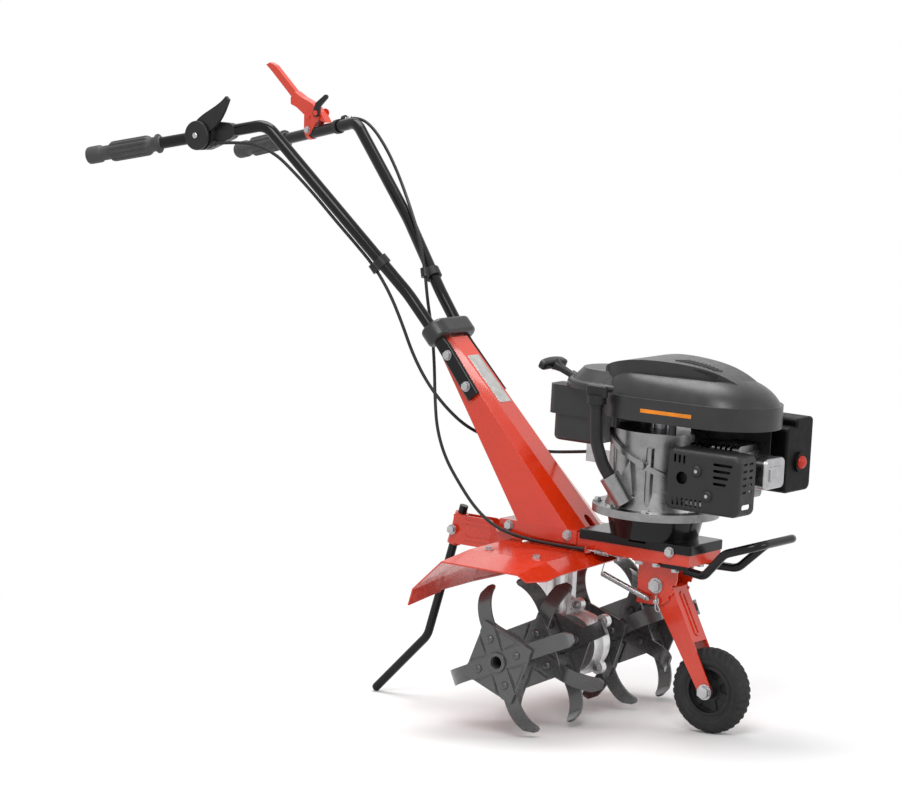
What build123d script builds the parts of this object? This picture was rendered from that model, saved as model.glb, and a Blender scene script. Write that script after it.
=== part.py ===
from build123d import *
import os
from math import acos, atan2, cos, degrees, pi, radians, sin, sqrt, tan

os.makedirs("parts", exist_ok=True)

# Garden tiller with a vertical-shaft engine, a worm gear case and six tine rotors.
# All sizes are millimetres.  Places are given from the middle of the tine axle in the
# frame of the chassis: forward, left, up.  The chassis stands nose down by STANCE, on
# the front wheel and the tip of the depth bar.

# Stance of the machine on the floor
STANCE = 3.7
WHEEL_RADIUS = 75.7
WHEEL_FORWARD = 280.5
WHEEL_DROP = 40.7
AXLE_AHEAD = 263.65
STANCE_SIN = sin(radians(STANCE))
STANCE_COS = cos(radians(STANCE))
AXLE_HEIGHT = WHEEL_RADIUS + WHEEL_FORWARD * STANCE_SIN + WHEEL_DROP * STANCE_COS

# Chassis channel, deck and sheet metal
SHEET = 3.0
CHASSIS_REAR = -143.0
CHASSIS_FRONT = 250.0
CHASSIS_HALF = 54.0
CHASSIS_TOP = 208.0
CHASSIS_BOTTOM = 178.0
LIP_WIDTH = 20.0
BELT_OPENING_REAR = 12.0
DECK_REAR = 24.0
DECK_TOP = 216.0
DECK_SKIRT = 199.0
RISER_FOOT = 77.0
RISER_HEAD = 86.0
RISER_BORE = 60.0
SIDE_BOLT_UP = 200.8
SIDE_BOLT_REAR = -122.5
SIDE_BOLT_FRONT = 1.5
DECK_BOLT = 212.0
BRACKET_BOLT_REAR = 143.0
BRACKET_BOLT_FRONT = 178.0
BUMPER_BOLT = 217.0

# Main column, leaning back at 45 degrees
COLUMN_FOOT = 211.0
COLUMN_HEAD = 519.0
COLUMN_FACE_HALF = 24.0
COLUMN_FOOT_FRONT = 20.0
COLUMN_FOOT_BEVEL = 1.0
COLUMN_FOOT_REAR = -106.0
COLUMN_FOOT_HALF = CHASSIS_HALF + SHEET
COLUMN_HEAD_FRONT = -290.0
COLUMN_HEAD_BEVEL = -307.0
COLUMN_HEAD_REAR = -330.0
COLUMN_HEAD_HALF = 30.0
SADDLE_BOTTOM = 186.0

# Handle
TUBE_RADIUS = 11.0
TUBE_WALL = 2.0
FLAT_WIDTH = 27.0
FLAT_THICK = 11.0
GRIP_RADIUS = 16.5
GRIP_LENGTH = 150.0
CABLE_RADIUS = 3.0

# Engine
CRANK_FORWARD = 145.0
CRANK_RADIUS = 12.5
FLANGE_RADIUS = 112.0
FLANGE_BOTTOM = 255.0
FLANGE_THICK = 14.0
CASE_RADIUS = 82.0
CASE_TOP = 405.0
CYLINDER_LEFT = 12.0
HEAD_REAR = 268.0
HEAD_FRONT = 322.0
HEAD_HALF = 45.0
COVER_FRONT = 372.0
HOOD_BOTTOM = 428.0
HOOD_TOP = 480.0
HOOD_WALL = 3.0
HOOD_REAR_RADIUS = 106.0
HOOD_NOSE_RADIUS = 98.0
HOOD_NOSE_FORWARD = 274.0
DOME_FOOT = 468.0
DOME_TOP = 506.0
FILLER_RADIUS = 11.0
SOCKET_DEPTH = 12.0
GUARD_FACE = 118.0
MUFFLER_FACE = 106.0

# Gear case and drive
AXLE_RADIUS = 10.0
RUNNING_FIT = 0.1
WORM_BACK = 46.0
WORM_MODULE = 3.0
WORM_WHEEL_TEETH = 24
WHEEL_FACE = 14.0
WORM_LEAD = pi * WORM_MODULE
WHEEL_PITCH_RADIUS = WORM_MODULE * WORM_WHEEL_TEETH / 2
WORM_PITCH_RADIUS = WORM_BACK - WHEEL_PITCH_RADIUS
CASE_HALF = 26.0
CASE_BOSS_HALF = 38.0
HOUSING_RADIUS = 52.0
BELT_BOTTOM = 186.0
BELT_TOP = 196.0
DRIVEN_RADIUS = 44.0
DRIVER_RADIUS = 30.0
IDLER_PIVOT = 88.0
IDLER_PIN = 5.0
IDLER_FORWARD = 40.0
IDLER_RADIUS = 16.0

# Tines
HUB_RADIUS = 15.0
HUB_BORE = 10.2
HUB_SOCKET = 10.5
PLATE_THICK = 4.0
PLATE_CORNER = 76.0
PLATE_RELIEF = 2.0
BLADE_WIDTH = 28.0
BLADE_THICK = 4.0
BLADE_TIP = 132.3
BLADE_CORNER = 7.0
BLADE_FLAT = 72.0
BLADE_BEND = 62.0
BLADE_TURN = 62.0
BLADE_SWEEP = 60.0
BLADE_BOLT_CIRCLE = 42.0
OUTER_PLATE = 255.0
MIDDLE_PLATE = 157.0
INNER_PLATE = 58.0
OUTER_PHASE = 24.7
MIDDLE_PHASE = 71.0
INNER_PHASE = 28.0
HUB_INNER_START = 42.0
HUB_SPLIT = 178.0
HUB_END = 259.0
AXLE_HALF = 206.0

# Front wheel and its leg
LEG_PIVOT_FORWARD = 172.0
LEG_PIVOT_UP = 132.0
LEG_HALF = 24.0
BRACKET_HALF = 28.0
TYRE_HALF = 17.5
RIM_RADIUS = 43.5
WHEEL_BOLT = 6.0

# Depth bar
BAR_RADIUS = 8.0
BAR_TOP_FORWARD = -259.4
BAR_TOP_UP = 211.6
BAR_LEAN = 14.6
BAR_STRAIGHT = 260.0
BAR_FOOT_SLOPE = 46.5
SLEEVE_RADIUS = 12.5
SLEEVE_TOP = 196.0
SLEEVE_BOTTOM = 142.0
BRACKET_RIBS = (155, 185)

# Frame of the chassis, and planes and places measured from it
chassis_frame = Plane(
    origin=(AXLE_AHEAD, 0, AXLE_HEIGHT),
    x_dir=(STANCE_COS, 0, -STANCE_SIN),
    z_dir=(STANCE_SIN, 0, STANCE_COS),
)


def spot(forward, left, up):
    """Place in the shared frame of a point given in the chassis frame."""
    return chassis_frame.from_local_coords(Vector(forward, left, up))


def heading(forward, left, up):
    """Direction in the shared frame of a direction given in the chassis frame."""
    return (spot(forward, left, up) - spot(0, 0, 0)).normalized()


FORWARD = heading(1, 0, 0)
LEFT = heading(0, 1, 0)
UP = heading(0, 0, 1)
UP_AXIS = Axis(spot(0, 0, 0), UP)
FORWARD_AXIS = Axis(spot(0, 0, 0), FORWARD)


def side_plane(left):
    """Upright lengthwise plane: x forward, y up, facing the right side."""
    return Plane(origin=spot(0, left, 0), x_dir=FORWARD, z_dir=-LEFT)


def side_plane_at(forward, left, up):
    """Upright lengthwise plane with its origin at a place: x forward, y up, facing right."""
    return Plane(origin=spot(forward, left, up), x_dir=FORWARD, z_dir=-LEFT)


def level_plane(up):
    """Plane of the deck: x forward, y left, facing up."""
    return Plane(origin=spot(0, 0, up), x_dir=FORWARD, z_dir=UP)


def cross_plane(forward):
    """Upright crosswise plane: x left, y up, facing forward."""
    return Plane(origin=spot(forward, 0, 0), x_dir=LEFT, z_dir=FORWARD)


def axis_plane(place, direction):
    """Plane at a place of the chassis frame, facing along a direction of that frame."""
    return Plane(origin=spot(*place), z_dir=heading(*direction))


def rod(place, direction, radius, length, mode=Mode.ADD):
    """Round rod that starts at a place and runs along a direction of the chassis frame."""
    with BuildSketch(axis_plane(place, direction)) as section:
        Circle(radius)
    extrude(section.sketch, amount=length, mode=mode)


def bolt(place, direction, size, grip):
    """Hexagon bolt with its washer: the head looks along the direction, the shank goes back."""
    seat = axis_plane(place, direction)
    with BuildSketch(seat) as washer:
        Circle(size * 1.15)
    extrude(washer.sketch, amount=size * 0.2)
    with BuildSketch(seat.offset(size * 0.2)) as head:
        RegularPolygon(size * 0.82, 6, major_radius=False)
    extrude(head.sketch, amount=size * 0.65)
    with BuildSketch(seat) as shank:
        Circle(size / 2 - RUNNING_FIT)
    extrude(shank.sketch, amount=-grip)


def place_of(vector):
    """The three numbers of a vector, as the places of this script are written."""
    return (vector.X, vector.Y, vector.Z)


def bend_radii(points):
    """Bend radii of a route: nearly half of the shorter run is used up by each bend."""
    radii = []
    for before, here, after in zip(points, points[1:], points[2:]):
        first = Vector(*here) - Vector(*before)
        second = Vector(*after) - Vector(*here)
        turn = acos(first.normalized().dot(second.normalized()))
        radii.append(0.45 * min(first.length, second.length) / tan(turn / 2))
    return radii


def tube(points, radii, outer, inner, mode=Mode.ADD):
    """Round tube or cord along a route of straight runs and tangent arcs."""
    with BuildLine(chassis_frame) as route:
        FilletPolyline(*points, radius=radii)
    start = Plane(origin=route.line @ 0, z_dir=route.line % 0)
    with BuildSketch(start) as section:
        Circle(outer)
        if inner > 0:
            Circle(inner, mode=Mode.SUBTRACT)
    sweep(section.sketch, path=route.line, mode=mode)
    return sum(edge.length for edge in route.line.edges())


# Chassis: folded channel with lips, closed under the gear case, with the cable tab
with BuildPart() as chassis:
    with BuildSketch(cross_plane(CHASSIS_REAR)):
        with Locations((0, (CHASSIS_TOP + CHASSIS_BOTTOM) / 2)):
            Rectangle(2 * CHASSIS_HALF, CHASSIS_TOP - CHASSIS_BOTTOM)
            Rectangle(
                2 * (CHASSIS_HALF - SHEET),
                CHASSIS_TOP - CHASSIS_BOTTOM - 2 * SHEET,
                mode=Mode.SUBTRACT,
            )
    extrude(amount=CHASSIS_FRONT - CHASSIS_REAR)
    with BuildSketch(cross_plane(CHASSIS_FRONT)):
        with Locations((0, (CHASSIS_TOP + CHASSIS_BOTTOM) / 2)):
            Rectangle(2 * CHASSIS_HALF, CHASSIS_TOP - CHASSIS_BOTTOM)
    extrude(amount=-SHEET)
    opening_length = CHASSIS_FRONT - SHEET - BELT_OPENING_REAR
    with BuildSketch(level_plane(CHASSIS_BOTTOM)):
        with Locations((BELT_OPENING_REAR + opening_length / 2, 0)):
            Rectangle(opening_length, 2 * (CHASSIS_HALF - LIP_WIDTH))
        with Locations((98, -(CHASSIS_HALF - SHEET - LIP_WIDTH / 2))):
            Rectangle(40, LIP_WIDTH)
        with Locations((-WORM_BACK, 0)):
            Circle(17)
    extrude(amount=SHEET, mode=Mode.SUBTRACT)
    with BuildSketch(level_plane(CHASSIS_TOP - SHEET)):
        with Locations((CRANK_FORWARD, 0)):
            Circle(40)
    extrude(amount=SHEET, mode=Mode.SUBTRACT)
    rod((IDLER_PIVOT, 0, CHASSIS_TOP - SHEET), (0, 0, -1), IDLER_PIN, 6.8)
    rod((IDLER_PIVOT, 0, CHASSIS_TOP - SHEET - 5.2), (0, 0, -1), IDLER_PIN + 2.5, 1.6)
    for bolt_forward in (SIDE_BOLT_REAR, SIDE_BOLT_FRONT, DECK_BOLT):
        rod((bolt_forward, -70, SIDE_BOLT_UP), (0, 1, 0), 4, 140, Mode.SUBTRACT)
    with BuildSketch(cross_plane(46)):
        with Locations((-CHASSIS_HALF - 7, 182)):
            Rectangle(16, 12)
    extrude(amount=SHEET)
    rod((44, -64, 181), (1, 0, 0), 1.6, 8, Mode.SUBTRACT)
    for bolt_side in (-1, 1):
        for bolt_forward in (BRACKET_BOLT_REAR, BRACKET_BOLT_FRONT, BUMPER_BOLT):
            rod((bolt_forward, 43 * bolt_side, 160), (0, 0, 1), 4, 24, Mode.SUBTRACT)
chassis.part.label = "chassis"
export_step(chassis.part, "parts/chassis.step")

# Places where the flattened tube ends lie against the column's sides, and their bolts
FLAT_GAP = 0.15


def beside_column(share, setback):
    """Place of a flattened tube against the column's right side, at a share of its height."""
    forward = COLUMN_FOOT_BEVEL + share * (COLUMN_HEAD_BEVEL - COLUMN_FOOT_BEVEL) - setback
    half = COLUMN_FOOT_HALF + share * (COLUMN_HEAD_HALF - COLUMN_FOOT_HALF)
    up = COLUMN_FOOT + share * (COLUMN_HEAD - COLUMN_FOOT)
    return (forward, -(half + FLAT_GAP + FLAT_THICK / 2), up)


FLAT_FOOT = beside_column(0.679, 14)
FLAT_HEAD = beside_column(0.955, 7)
HANDLE_BOLTS = (0.19, 0.79)
COLUMN_SPREAD = (COLUMN_FOOT_HALF - COLUMN_HEAD_HALF) / (COLUMN_HEAD - COLUMN_FOOT)
flat_run = Vector(*FLAT_HEAD) - Vector(*FLAT_FOOT)


def handle_bolt(share, side):
    """Seat and outward direction of a handle bolt, by its share of the flat run."""
    along = flat_run.normalized()
    out = Vector(0, -1, COLUMN_SPREAD)
    out = (out - along * out.dot(along)).normalized()
    seat = Vector(*FLAT_FOOT) + flat_run * share + out * (FLAT_THICK / 2)
    return (seat.X, -side * seat.Y, seat.Z), (out.X, -side * out.Y, out.Z)


# Main column: folded sheet that leans back, open at the rear, on a saddle over the chassis
def column_outline(front, bevel, rear, side_half, wall):
    """Half outline of the column at one height, drawn in by the wall for its inside."""
    face_half = COLUMN_FACE_HALF - wall * 0.5
    open_rear = rear - wall * 4
    right = [
        (front - wall * 1.4, face_half),
        (bevel - wall * 0.6, side_half - wall),
        (open_rear, side_half - wall),
    ]
    return right + [(forward, -left) for forward, left in reversed(right)]


with BuildPart() as main_column:
    for wall, how in ((0, Mode.ADD), (SHEET, Mode.SUBTRACT)):
        with BuildSketch(level_plane(COLUMN_FOOT)) as foot:
            Polygon(
                column_outline(
                    COLUMN_FOOT_FRONT, COLUMN_FOOT_BEVEL, COLUMN_FOOT_REAR, COLUMN_FOOT_HALF, wall
                )
            )
        with BuildSketch(level_plane(COLUMN_HEAD)) as head:
            Polygon(
                column_outline(
                    COLUMN_HEAD_FRONT, COLUMN_HEAD_BEVEL, COLUMN_HEAD_REAR, COLUMN_HEAD_HALF, wall
                )
            )
        loft(ruled=True, mode=how)
    with BuildSketch(cross_plane(CHASSIS_REAR)):
        with Locations((0, (COLUMN_FOOT + SADDLE_BOTTOM) / 2)):
            Rectangle(2 * COLUMN_FOOT_HALF, COLUMN_FOOT - SADDLE_BOTTOM)
        with Locations((0, (CHASSIS_TOP + SADDLE_BOTTOM) / 2)):
            Rectangle(2 * CHASSIS_HALF, CHASSIS_TOP - SADDLE_BOTTOM, mode=Mode.SUBTRACT)
    extrude(amount=DECK_REAR - 4 - CHASSIS_REAR)
    with BuildSketch(cross_plane(-12)):
        with Locations((0, COLUMN_FOOT + 5.5)):
            Rectangle(18, 11)
        with Locations((0, COLUMN_FOOT + 11)):
            Circle(9)
    extrude(amount=50, mode=Mode.SUBTRACT)
    for bolt_forward in (SIDE_BOLT_REAR, SIDE_BOLT_FRONT):
        rod((bolt_forward, -70, SIDE_BOLT_UP), (0, 1, 0), 4, 140, Mode.SUBTRACT)
    for bolt_share in HANDLE_BOLTS:
        for side in (-1, 1):
            place, outward = handle_bolt(bolt_share, side)
            rod(place, outward, 4, -40, Mode.SUBTRACT)
main_column.part.label = "main_column"
export_step(main_column.part, "parts/main_column.step")

# Engine deck: black cover over the chassis with the round riser under the engine flange
with BuildPart() as engine_deck:
    deck_front = CHASSIS_FRONT + SHEET
    with BuildSketch(level_plane(DECK_SKIRT)):
        with Locations(((DECK_REAR + deck_front) / 2, 0)):
            RectangleRounded(deck_front - DECK_REAR, 2 * (CHASSIS_HALF + 3.5), 6)
    extrude(amount=DECK_TOP - DECK_SKIRT)
    fillet(engine_deck.faces().sort_by(UP_AXIS)[-1].edges(), 2.5)
    with BuildSketch(level_plane(DECK_SKIRT)):
        with Locations(((DECK_REAR + CHASSIS_FRONT) / 2 - 5, 0)):
            Rectangle(CHASSIS_FRONT - DECK_REAR + 10, 2 * CHASSIS_HALF)
    extrude(amount=CHASSIS_TOP - DECK_SKIRT, mode=Mode.SUBTRACT)
    with BuildSketch(level_plane(DECK_TOP - 1)) as riser_foot:
        with Locations((CRANK_FORWARD, 0)):
            Circle(RISER_FOOT)
    with BuildSketch(level_plane(FLANGE_BOTTOM)) as riser_head:
        with Locations((CRANK_FORWARD, 0)):
            Circle(RISER_HEAD)
    loft()
    with BuildSketch(level_plane(CHASSIS_TOP)):
        with Locations((CRANK_FORWARD, 0)):
            Circle(RISER_BORE)
    extrude(amount=FLANGE_BOTTOM - CHASSIS_TOP, mode=Mode.SUBTRACT)
    rod((DECK_BOLT, -70, SIDE_BOLT_UP), (0, 1, 0), 4, 140, Mode.SUBTRACT)
engine_deck.part.label = "engine_deck"
export_step(engine_deck.part, "parts/engine_deck.step")

# Tine guard: one profile across the machine, its wings folded down toward the outside
GUARD_CENTRE_UP = 177.8
GUARD_FOLD_LEFT = 180.0
GUARD_FOLD_FALL = 5.8
GUARD_EDGE_LEFT = 268.0
GUARD_EDGE_FALL = 17.0
GUARD_SHEET = 2.5
GUARD_BOLTS = (-95, 5)
GUARD_BOLT_LEFT = 160.0
with BuildPart() as tine_guard:
    guard_sections = []
    for section_left, section_fall in (
        (0, 0),
        (GUARD_FOLD_LEFT, GUARD_FOLD_FALL),
        (GUARD_EDGE_LEFT, GUARD_EDGE_FALL),
    ):
        section_top = GUARD_CENTRE_UP - section_fall
        with BuildSketch(side_plane(-section_left)) as guard_section:
            with BuildLine():
                Polyline(
                    (-187, section_top - 88),
                    (-179, section_top - 58),
                    (-121, section_top - GUARD_SHEET / 2),
                    (37, section_top - GUARD_SHEET / 2),
                    (70, section_top - 18),
                )
            trace(line_width=GUARD_SHEET)
        guard_sections.append(guard_section.sketch)
    loft(guard_sections, ruled=True)
    mirror(about=Plane.XZ)
    with BuildSketch(level_plane(GUARD_CENTRE_UP - 100)) as chassis_gap:
        with Locations((-150, 0)):
            Rectangle(316, 84)
            Rectangle(124, 124)
    extrude(chassis_gap.sketch, amount=120, mode=Mode.SUBTRACT)
    for wing in (-1, 1):
        with BuildSketch(cross_plane(-200)) as lip_end:
            Polygon(
                (wing * 30, 150),
                (wing * 30, 40),
                (wing * 165, 40),
                (wing * 172, GUARD_CENTRE_UP - 70),
                (wing * 150, GUARD_CENTRE_UP - 58),
            )
        extrude(lip_end.sketch, amount=40, mode=Mode.SUBTRACT)
        with BuildSketch(level_plane(GUARD_CENTRE_UP - 60)) as front_corner:
            Polygon((84, wing * 180), (84, wing * 280), (52, wing * 280))
        extrude(front_corner.sketch, amount=80, mode=Mode.SUBTRACT)
        for bolt_forward in GUARD_BOLTS:
            rod((bolt_forward, wing * GUARD_BOLT_LEFT, 120), (0, 0, 1), 3.6, 80, Mode.SUBTRACT)
tine_guard.part.label = "tine_guard"
export_step(tine_guard.part, "parts/tine_guard.step")

# Rear bracket: two flared plates from the chassis to the sleeve of the depth bar
BAR_BACK = sin(radians(BAR_LEAN))
BAR_DOWN = cos(radians(BAR_LEAN))


def bar_forward(up):
    """Forward place of the depth bar's axis at a height."""
    return BAR_TOP_FORWARD - (BAR_TOP_UP - up) * tan(radians(BAR_LEAN))


with BuildPart() as rear_bracket:
    for side in (-1, 1):
        with BuildSketch(level_plane(SLEEVE_BOTTOM)):
            with BuildLine():
                Polyline(
                    (-95, side * (CHASSIS_HALF + SHEET / 2)),
                    (-146, side * (CHASSIS_HALF + SHEET / 2)),
                    (-190, side * 12.5),
                    (-272, side * 12.5),
                )
            trace(line_width=SHEET)
        extrude(amount=SLEEVE_TOP - SLEEVE_BOTTOM)
    with BuildSketch(side_plane(0)):
        Polygon(
            (-94, SADDLE_BOTTOM),
            (-150, SADDLE_BOTTOM),
            (-196, SLEEVE_TOP),
            (-290, SLEEVE_TOP),
            (-290, SLEEVE_BOTTOM),
            (-196, SLEEVE_BOTTOM),
            (-150, 159),
            (-94, 159),
        )
    extrude(amount=80, both=True, mode=Mode.INTERSECT)
    for side in (-1, 1):
        for rib_up in BRACKET_RIBS:
            with BuildSketch(side_plane(side * 14)) as bracket_rib:
                with Locations((-219, rib_up)):
                    SlotOverall(60, 7)
                with Locations((-246, rib_up)):
                    Circle(6)
            extrude(bracket_rib.sketch, amount=-side * 1.6)
    sleeve_foot = (bar_forward(SLEEVE_BOTTOM - 2), 0, SLEEVE_BOTTOM - 2)
    bar_direction = (BAR_BACK, 0, BAR_DOWN)
    sleeve_length = (SLEEVE_TOP - SLEEVE_BOTTOM + 4) / BAR_DOWN
    rod(sleeve_foot, bar_direction, SLEEVE_RADIUS, sleeve_length)
    bore_foot = (bar_forward(SLEEVE_BOTTOM - 30), 0, SLEEVE_BOTTOM - 30)
    rod(bore_foot, bar_direction, BAR_RADIUS + 0.3, sleeve_length + 60, Mode.SUBTRACT)
    rod((bar_forward(168), -9.5, 168), (0, -1, 0), 8, 9.5)
    rod((bar_forward(168), -9, 168), (0, -1, 0), 4, 20, Mode.SUBTRACT)
rear_bracket.part.label = "rear_bracket"
export_step(rear_bracket.part, "parts/rear_bracket.step")

# Depth bar: round bar in the sleeve, bent back to its rounded foot on the floor
bend_forward = BAR_TOP_FORWARD - BAR_STRAIGHT * BAR_BACK
bend_up = BAR_TOP_UP - BAR_STRAIGHT * BAR_DOWN
foot_back = -cos(radians(BAR_FOOT_SLOPE))
foot_down = -sin(radians(BAR_FOOT_SLOPE))
bend_height = AXLE_HEIGHT - bend_forward * STANCE_SIN + bend_up * STANCE_COS
foot_sink = foot_back * STANCE_SIN - foot_down * STANCE_COS
foot_length = (bend_height - BAR_RADIUS) / foot_sink
bar_tip = (bend_forward + foot_back * foot_length, 0, bend_up + foot_down * foot_length)
with BuildPart() as depth_bar:
    tube(
        [(BAR_TOP_FORWARD, 0, BAR_TOP_UP), (bend_forward, 0, bend_up), bar_tip],
        [45],
        BAR_RADIUS,
        0,
    )
    with Locations(spot(*bar_tip)):
        Sphere(BAR_RADIUS)
depth_bar.part.label = "depth_bar"
export_step(depth_bar.part, "parts/depth_bar.step")

# Wheel bracket: two notched plates under a top plate bolted to the chassis lips
with BuildPart() as wheel_bracket:
    with BuildSketch(side_plane(0)):
        Polygon(
            (134, CHASSIS_BOTTOM),
            (134, 97),
            (183, 98),
            (203, 112),
            (213, 146),
            (213, CHASSIS_BOTTOM),
        )
        for notch_forward, notch_up in ((207.5, 133), (202.3, 114)):
            with Locations((notch_forward, notch_up)):
                Circle(4.5, mode=Mode.SUBTRACT)
        with Locations((LEG_PIVOT_FORWARD, LEG_PIVOT_UP)):
            Circle(6, mode=Mode.SUBTRACT)
    extrude(amount=BRACKET_HALF, both=True)
    with BuildSketch(side_plane(0)):
        Polygon((120, 80), (230, 80), (230, CHASSIS_BOTTOM - SHEET), (120, CHASSIS_BOTTOM - SHEET))
    extrude(amount=BRACKET_HALF - SHEET, both=True, mode=Mode.SUBTRACT)
    with BuildSketch(level_plane(CHASSIS_BOTTOM - SHEET)):
        with Locations((160, 0)):
            Rectangle(52, 104)
    extrude(amount=SHEET)
    for bolt_side in (-1, 1):
        for bolt_forward in (BRACKET_BOLT_REAR, BRACKET_BOLT_FRONT):
            rod((bolt_forward, 43 * bolt_side, 160), (0, 0, 1), 4, 24, Mode.SUBTRACT)
wheel_bracket.part.label = "wheel_bracket"
export_step(wheel_bracket.part, "parts/wheel_bracket.step")

# Bumper: one bent tube whose flattened ends are bolted under the chassis lips
BUMPER_RADIUS = 7.5
with BuildPart() as bumper_bar:
    right_run = [
        (240, -46, 170),
        (284, -58, 169),
        (330, -72, 216),
        (392, -72, 238),
    ]
    left_run = [(forward, -left, up) for forward, left, up in reversed(right_run)]
    tube(right_run + left_run, [22, 30, 30, 30, 30, 22], BUMPER_RADIUS, 0)
    for side in (-1, 1):
        with BuildSketch(level_plane(CHASSIS_BOTTOM - 7)) as flat_end:
            with Locations((220, side * 45)):
                SlotOverall(64, 20, rotation=side * 4)
            with Locations((BUMPER_BOLT, side * 43)):
                Circle(4, mode=Mode.SUBTRACT)
        extrude(flat_end.sketch, amount=7)
bumper_bar.part.label = "bumper_bar"
export_step(bumper_bar.part, "parts/bumper_bar.step")

# Handle tubes: flattened against the column, then two bent legs up to the grips
def from_head(back, out, rise):
    """Place on the right side, measured from the top of the column's side edge."""
    return (COLUMN_HEAD_BEVEL - back, -COLUMN_HEAD_HALF - out, COLUMN_HEAD + rise)


TUBE_ROUTE = [
    from_head(11, 11, 7),
    from_head(65, 21, 71),
    from_head(175, 64, 192),
    from_head(338, 110, 359),
    from_head(680, 197, 277),
]
TUBE_BENDS = [180, 300, 34]
flat_way = (flat_run.X, flat_run.Y, flat_run.Z)
flat_out = heading(0, -1, COLUMN_SPREAD)
round_run = Vector(*TUBE_ROUTE[1]) - Vector(*TUBE_ROUTE[0])
with BuildPart() as handle_tube_right:
    flat_start = Plane(origin=spot(*FLAT_FOOT), x_dir=flat_out, z_dir=heading(*flat_way))
    flat_length = flat_run.length - 8
    with BuildSketch(flat_start):
        SlotOverall(FLAT_WIDTH, FLAT_THICK, rotation=90)
    extrude(amount=flat_length)
    with BuildSketch(flat_start.offset(flat_length)) as flat_section:
        SlotOverall(FLAT_WIDTH, FLAT_THICK, rotation=90)
    round_way = (round_run.X, round_run.Y, round_run.Z)
    with BuildSketch(axis_plane(TUBE_ROUTE[0], round_way)) as round_section:
        Circle(TUBE_RADIUS)
    loft()
    tube(TUBE_ROUTE, TUBE_BENDS, TUBE_RADIUS, TUBE_RADIUS - TUBE_WALL)
    for bolt_share in HANDLE_BOLTS:
        place, outward = handle_bolt(bolt_share, -1)
        rod(place, outward, 4, -40, Mode.SUBTRACT)
handle_tube_right.part.label = "handle_tube_right"
export_step(handle_tube_right.part, "parts/handle_tube_right.step")

with BuildPart() as handle_tube_left:
    mirror(handle_tube_right.part, about=Plane.XZ)
handle_tube_left.part.label = "handle_tube_left"
export_step(handle_tube_left.part, "parts/handle_tube_left.step")

# Places along the straight upper part of the handle tube
UPPER_BEND = Vector(*TUBE_ROUTE[3])
TUBE_END = Vector(*TUBE_ROUTE[4])
upper_way = (UPPER_BEND - TUBE_END).normalized()


def on_tube(from_end, side):
    """Place on the axis of a tube's grip run, measured from the grip end; side -1 is right."""
    place = TUBE_END + upper_way * from_end
    return (place.X, -side * place.Y, place.Z)


def tube_way(side):
    """Direction of the grip run of one side, from the grip end toward the bend."""
    return (upper_way.X, -side * upper_way.Y, upper_way.Z)


# Grips: rubber sleeves with an end knob and a ring toward the controls
with BuildPart() as handle_grips:
    for side in (-1, 1):
        grip_axis = Plane(origin=spot(*on_tube(0, side)), z_dir=heading(*tube_way(side)))
        grip_side = Plane(origin=grip_axis.origin, x_dir=grip_axis.z_dir, z_dir=grip_axis.x_dir)
        with BuildSketch(grip_side):
            with BuildLine():
                Polyline(
                    (-4, 0),
                    (-4, GRIP_RADIUS - 3),
                    (-1, GRIP_RADIUS + 1),
                    (14, GRIP_RADIUS + 1),
                    (18, GRIP_RADIUS - 3),
                    (22, GRIP_RADIUS - 3),
                    (28, GRIP_RADIUS),
                    (104, GRIP_RADIUS),
                    (118, GRIP_RADIUS - 3),
                    (140, GRIP_RADIUS - 3),
                    (141, GRIP_RADIUS + 3),
                    (145, GRIP_RADIUS + 3),
                    (146, GRIP_RADIUS - 3),
                    (GRIP_LENGTH, GRIP_RADIUS - 3.5),
                    (GRIP_LENGTH, TUBE_RADIUS),
                    (0, TUBE_RADIUS),
                    (0, 0),
                    close=True,
                )
            make_face()
        revolve(axis=Axis(grip_axis.origin, grip_axis.z_dir))
handle_grips.part.label = "handle_grips"
export_step(handle_grips.part, "parts/handle_grips.step")

# Collar: black yoke over the head of the column and both tubes, with a tongue in front
COLLAR_THICK = 34.0
with BuildPart() as handle_collar:
    collar_foot = spot(COLUMN_HEAD_BEVEL + 1, 0, COLUMN_HEAD - 9)
    collar_base = Plane(origin=collar_foot, x_dir=LEFT, z_dir=heading(-1, 0, 1.06))
    with BuildSketch(collar_base):
        with Locations((0, -4)):
            SlotOverall(122, 52)
    extrude(amount=COLLAR_THICK)
    fillet(handle_collar.faces().sort_by(UP_AXIS)[-1].edges(), 7)
    with BuildSketch(collar_base):
        with Locations((0, 14)):
            SlotOverall(52, 18)
    extrude(amount=-22)
    add(main_column.part, mode=Mode.SUBTRACT)
    with BuildSketch(level_plane(COLUMN_FOOT)) as hollow_foot:
        Polygon(
            column_outline(
                COLUMN_FOOT_FRONT, COLUMN_FOOT_BEVEL, COLUMN_FOOT_REAR, COLUMN_FOOT_HALF, SHEET
            )
        )
    with BuildSketch(level_plane(COLUMN_HEAD)) as hollow_head:
        Polygon(
            column_outline(
                COLUMN_HEAD_FRONT, COLUMN_HEAD_BEVEL, COLUMN_HEAD_REAR, COLUMN_HEAD_HALF, SHEET
            )
        )
    loft(ruled=True, mode=Mode.SUBTRACT)
    for side_tube in (handle_tube_right, handle_tube_left):
        add(side_tube.part, mode=Mode.SUBTRACT)
    tube(TUBE_ROUTE, TUBE_BENDS, TUBE_RADIUS, 0, Mode.SUBTRACT)
    left_route = [(forward, -left, up) for forward, left, up in TUBE_ROUTE]
    tube(left_route, TUBE_BENDS, TUBE_RADIUS, 0, Mode.SUBTRACT)
handle_collar.part.label = "handle_collar"
export_step(handle_collar.part, "parts/handle_collar.step")

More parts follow.
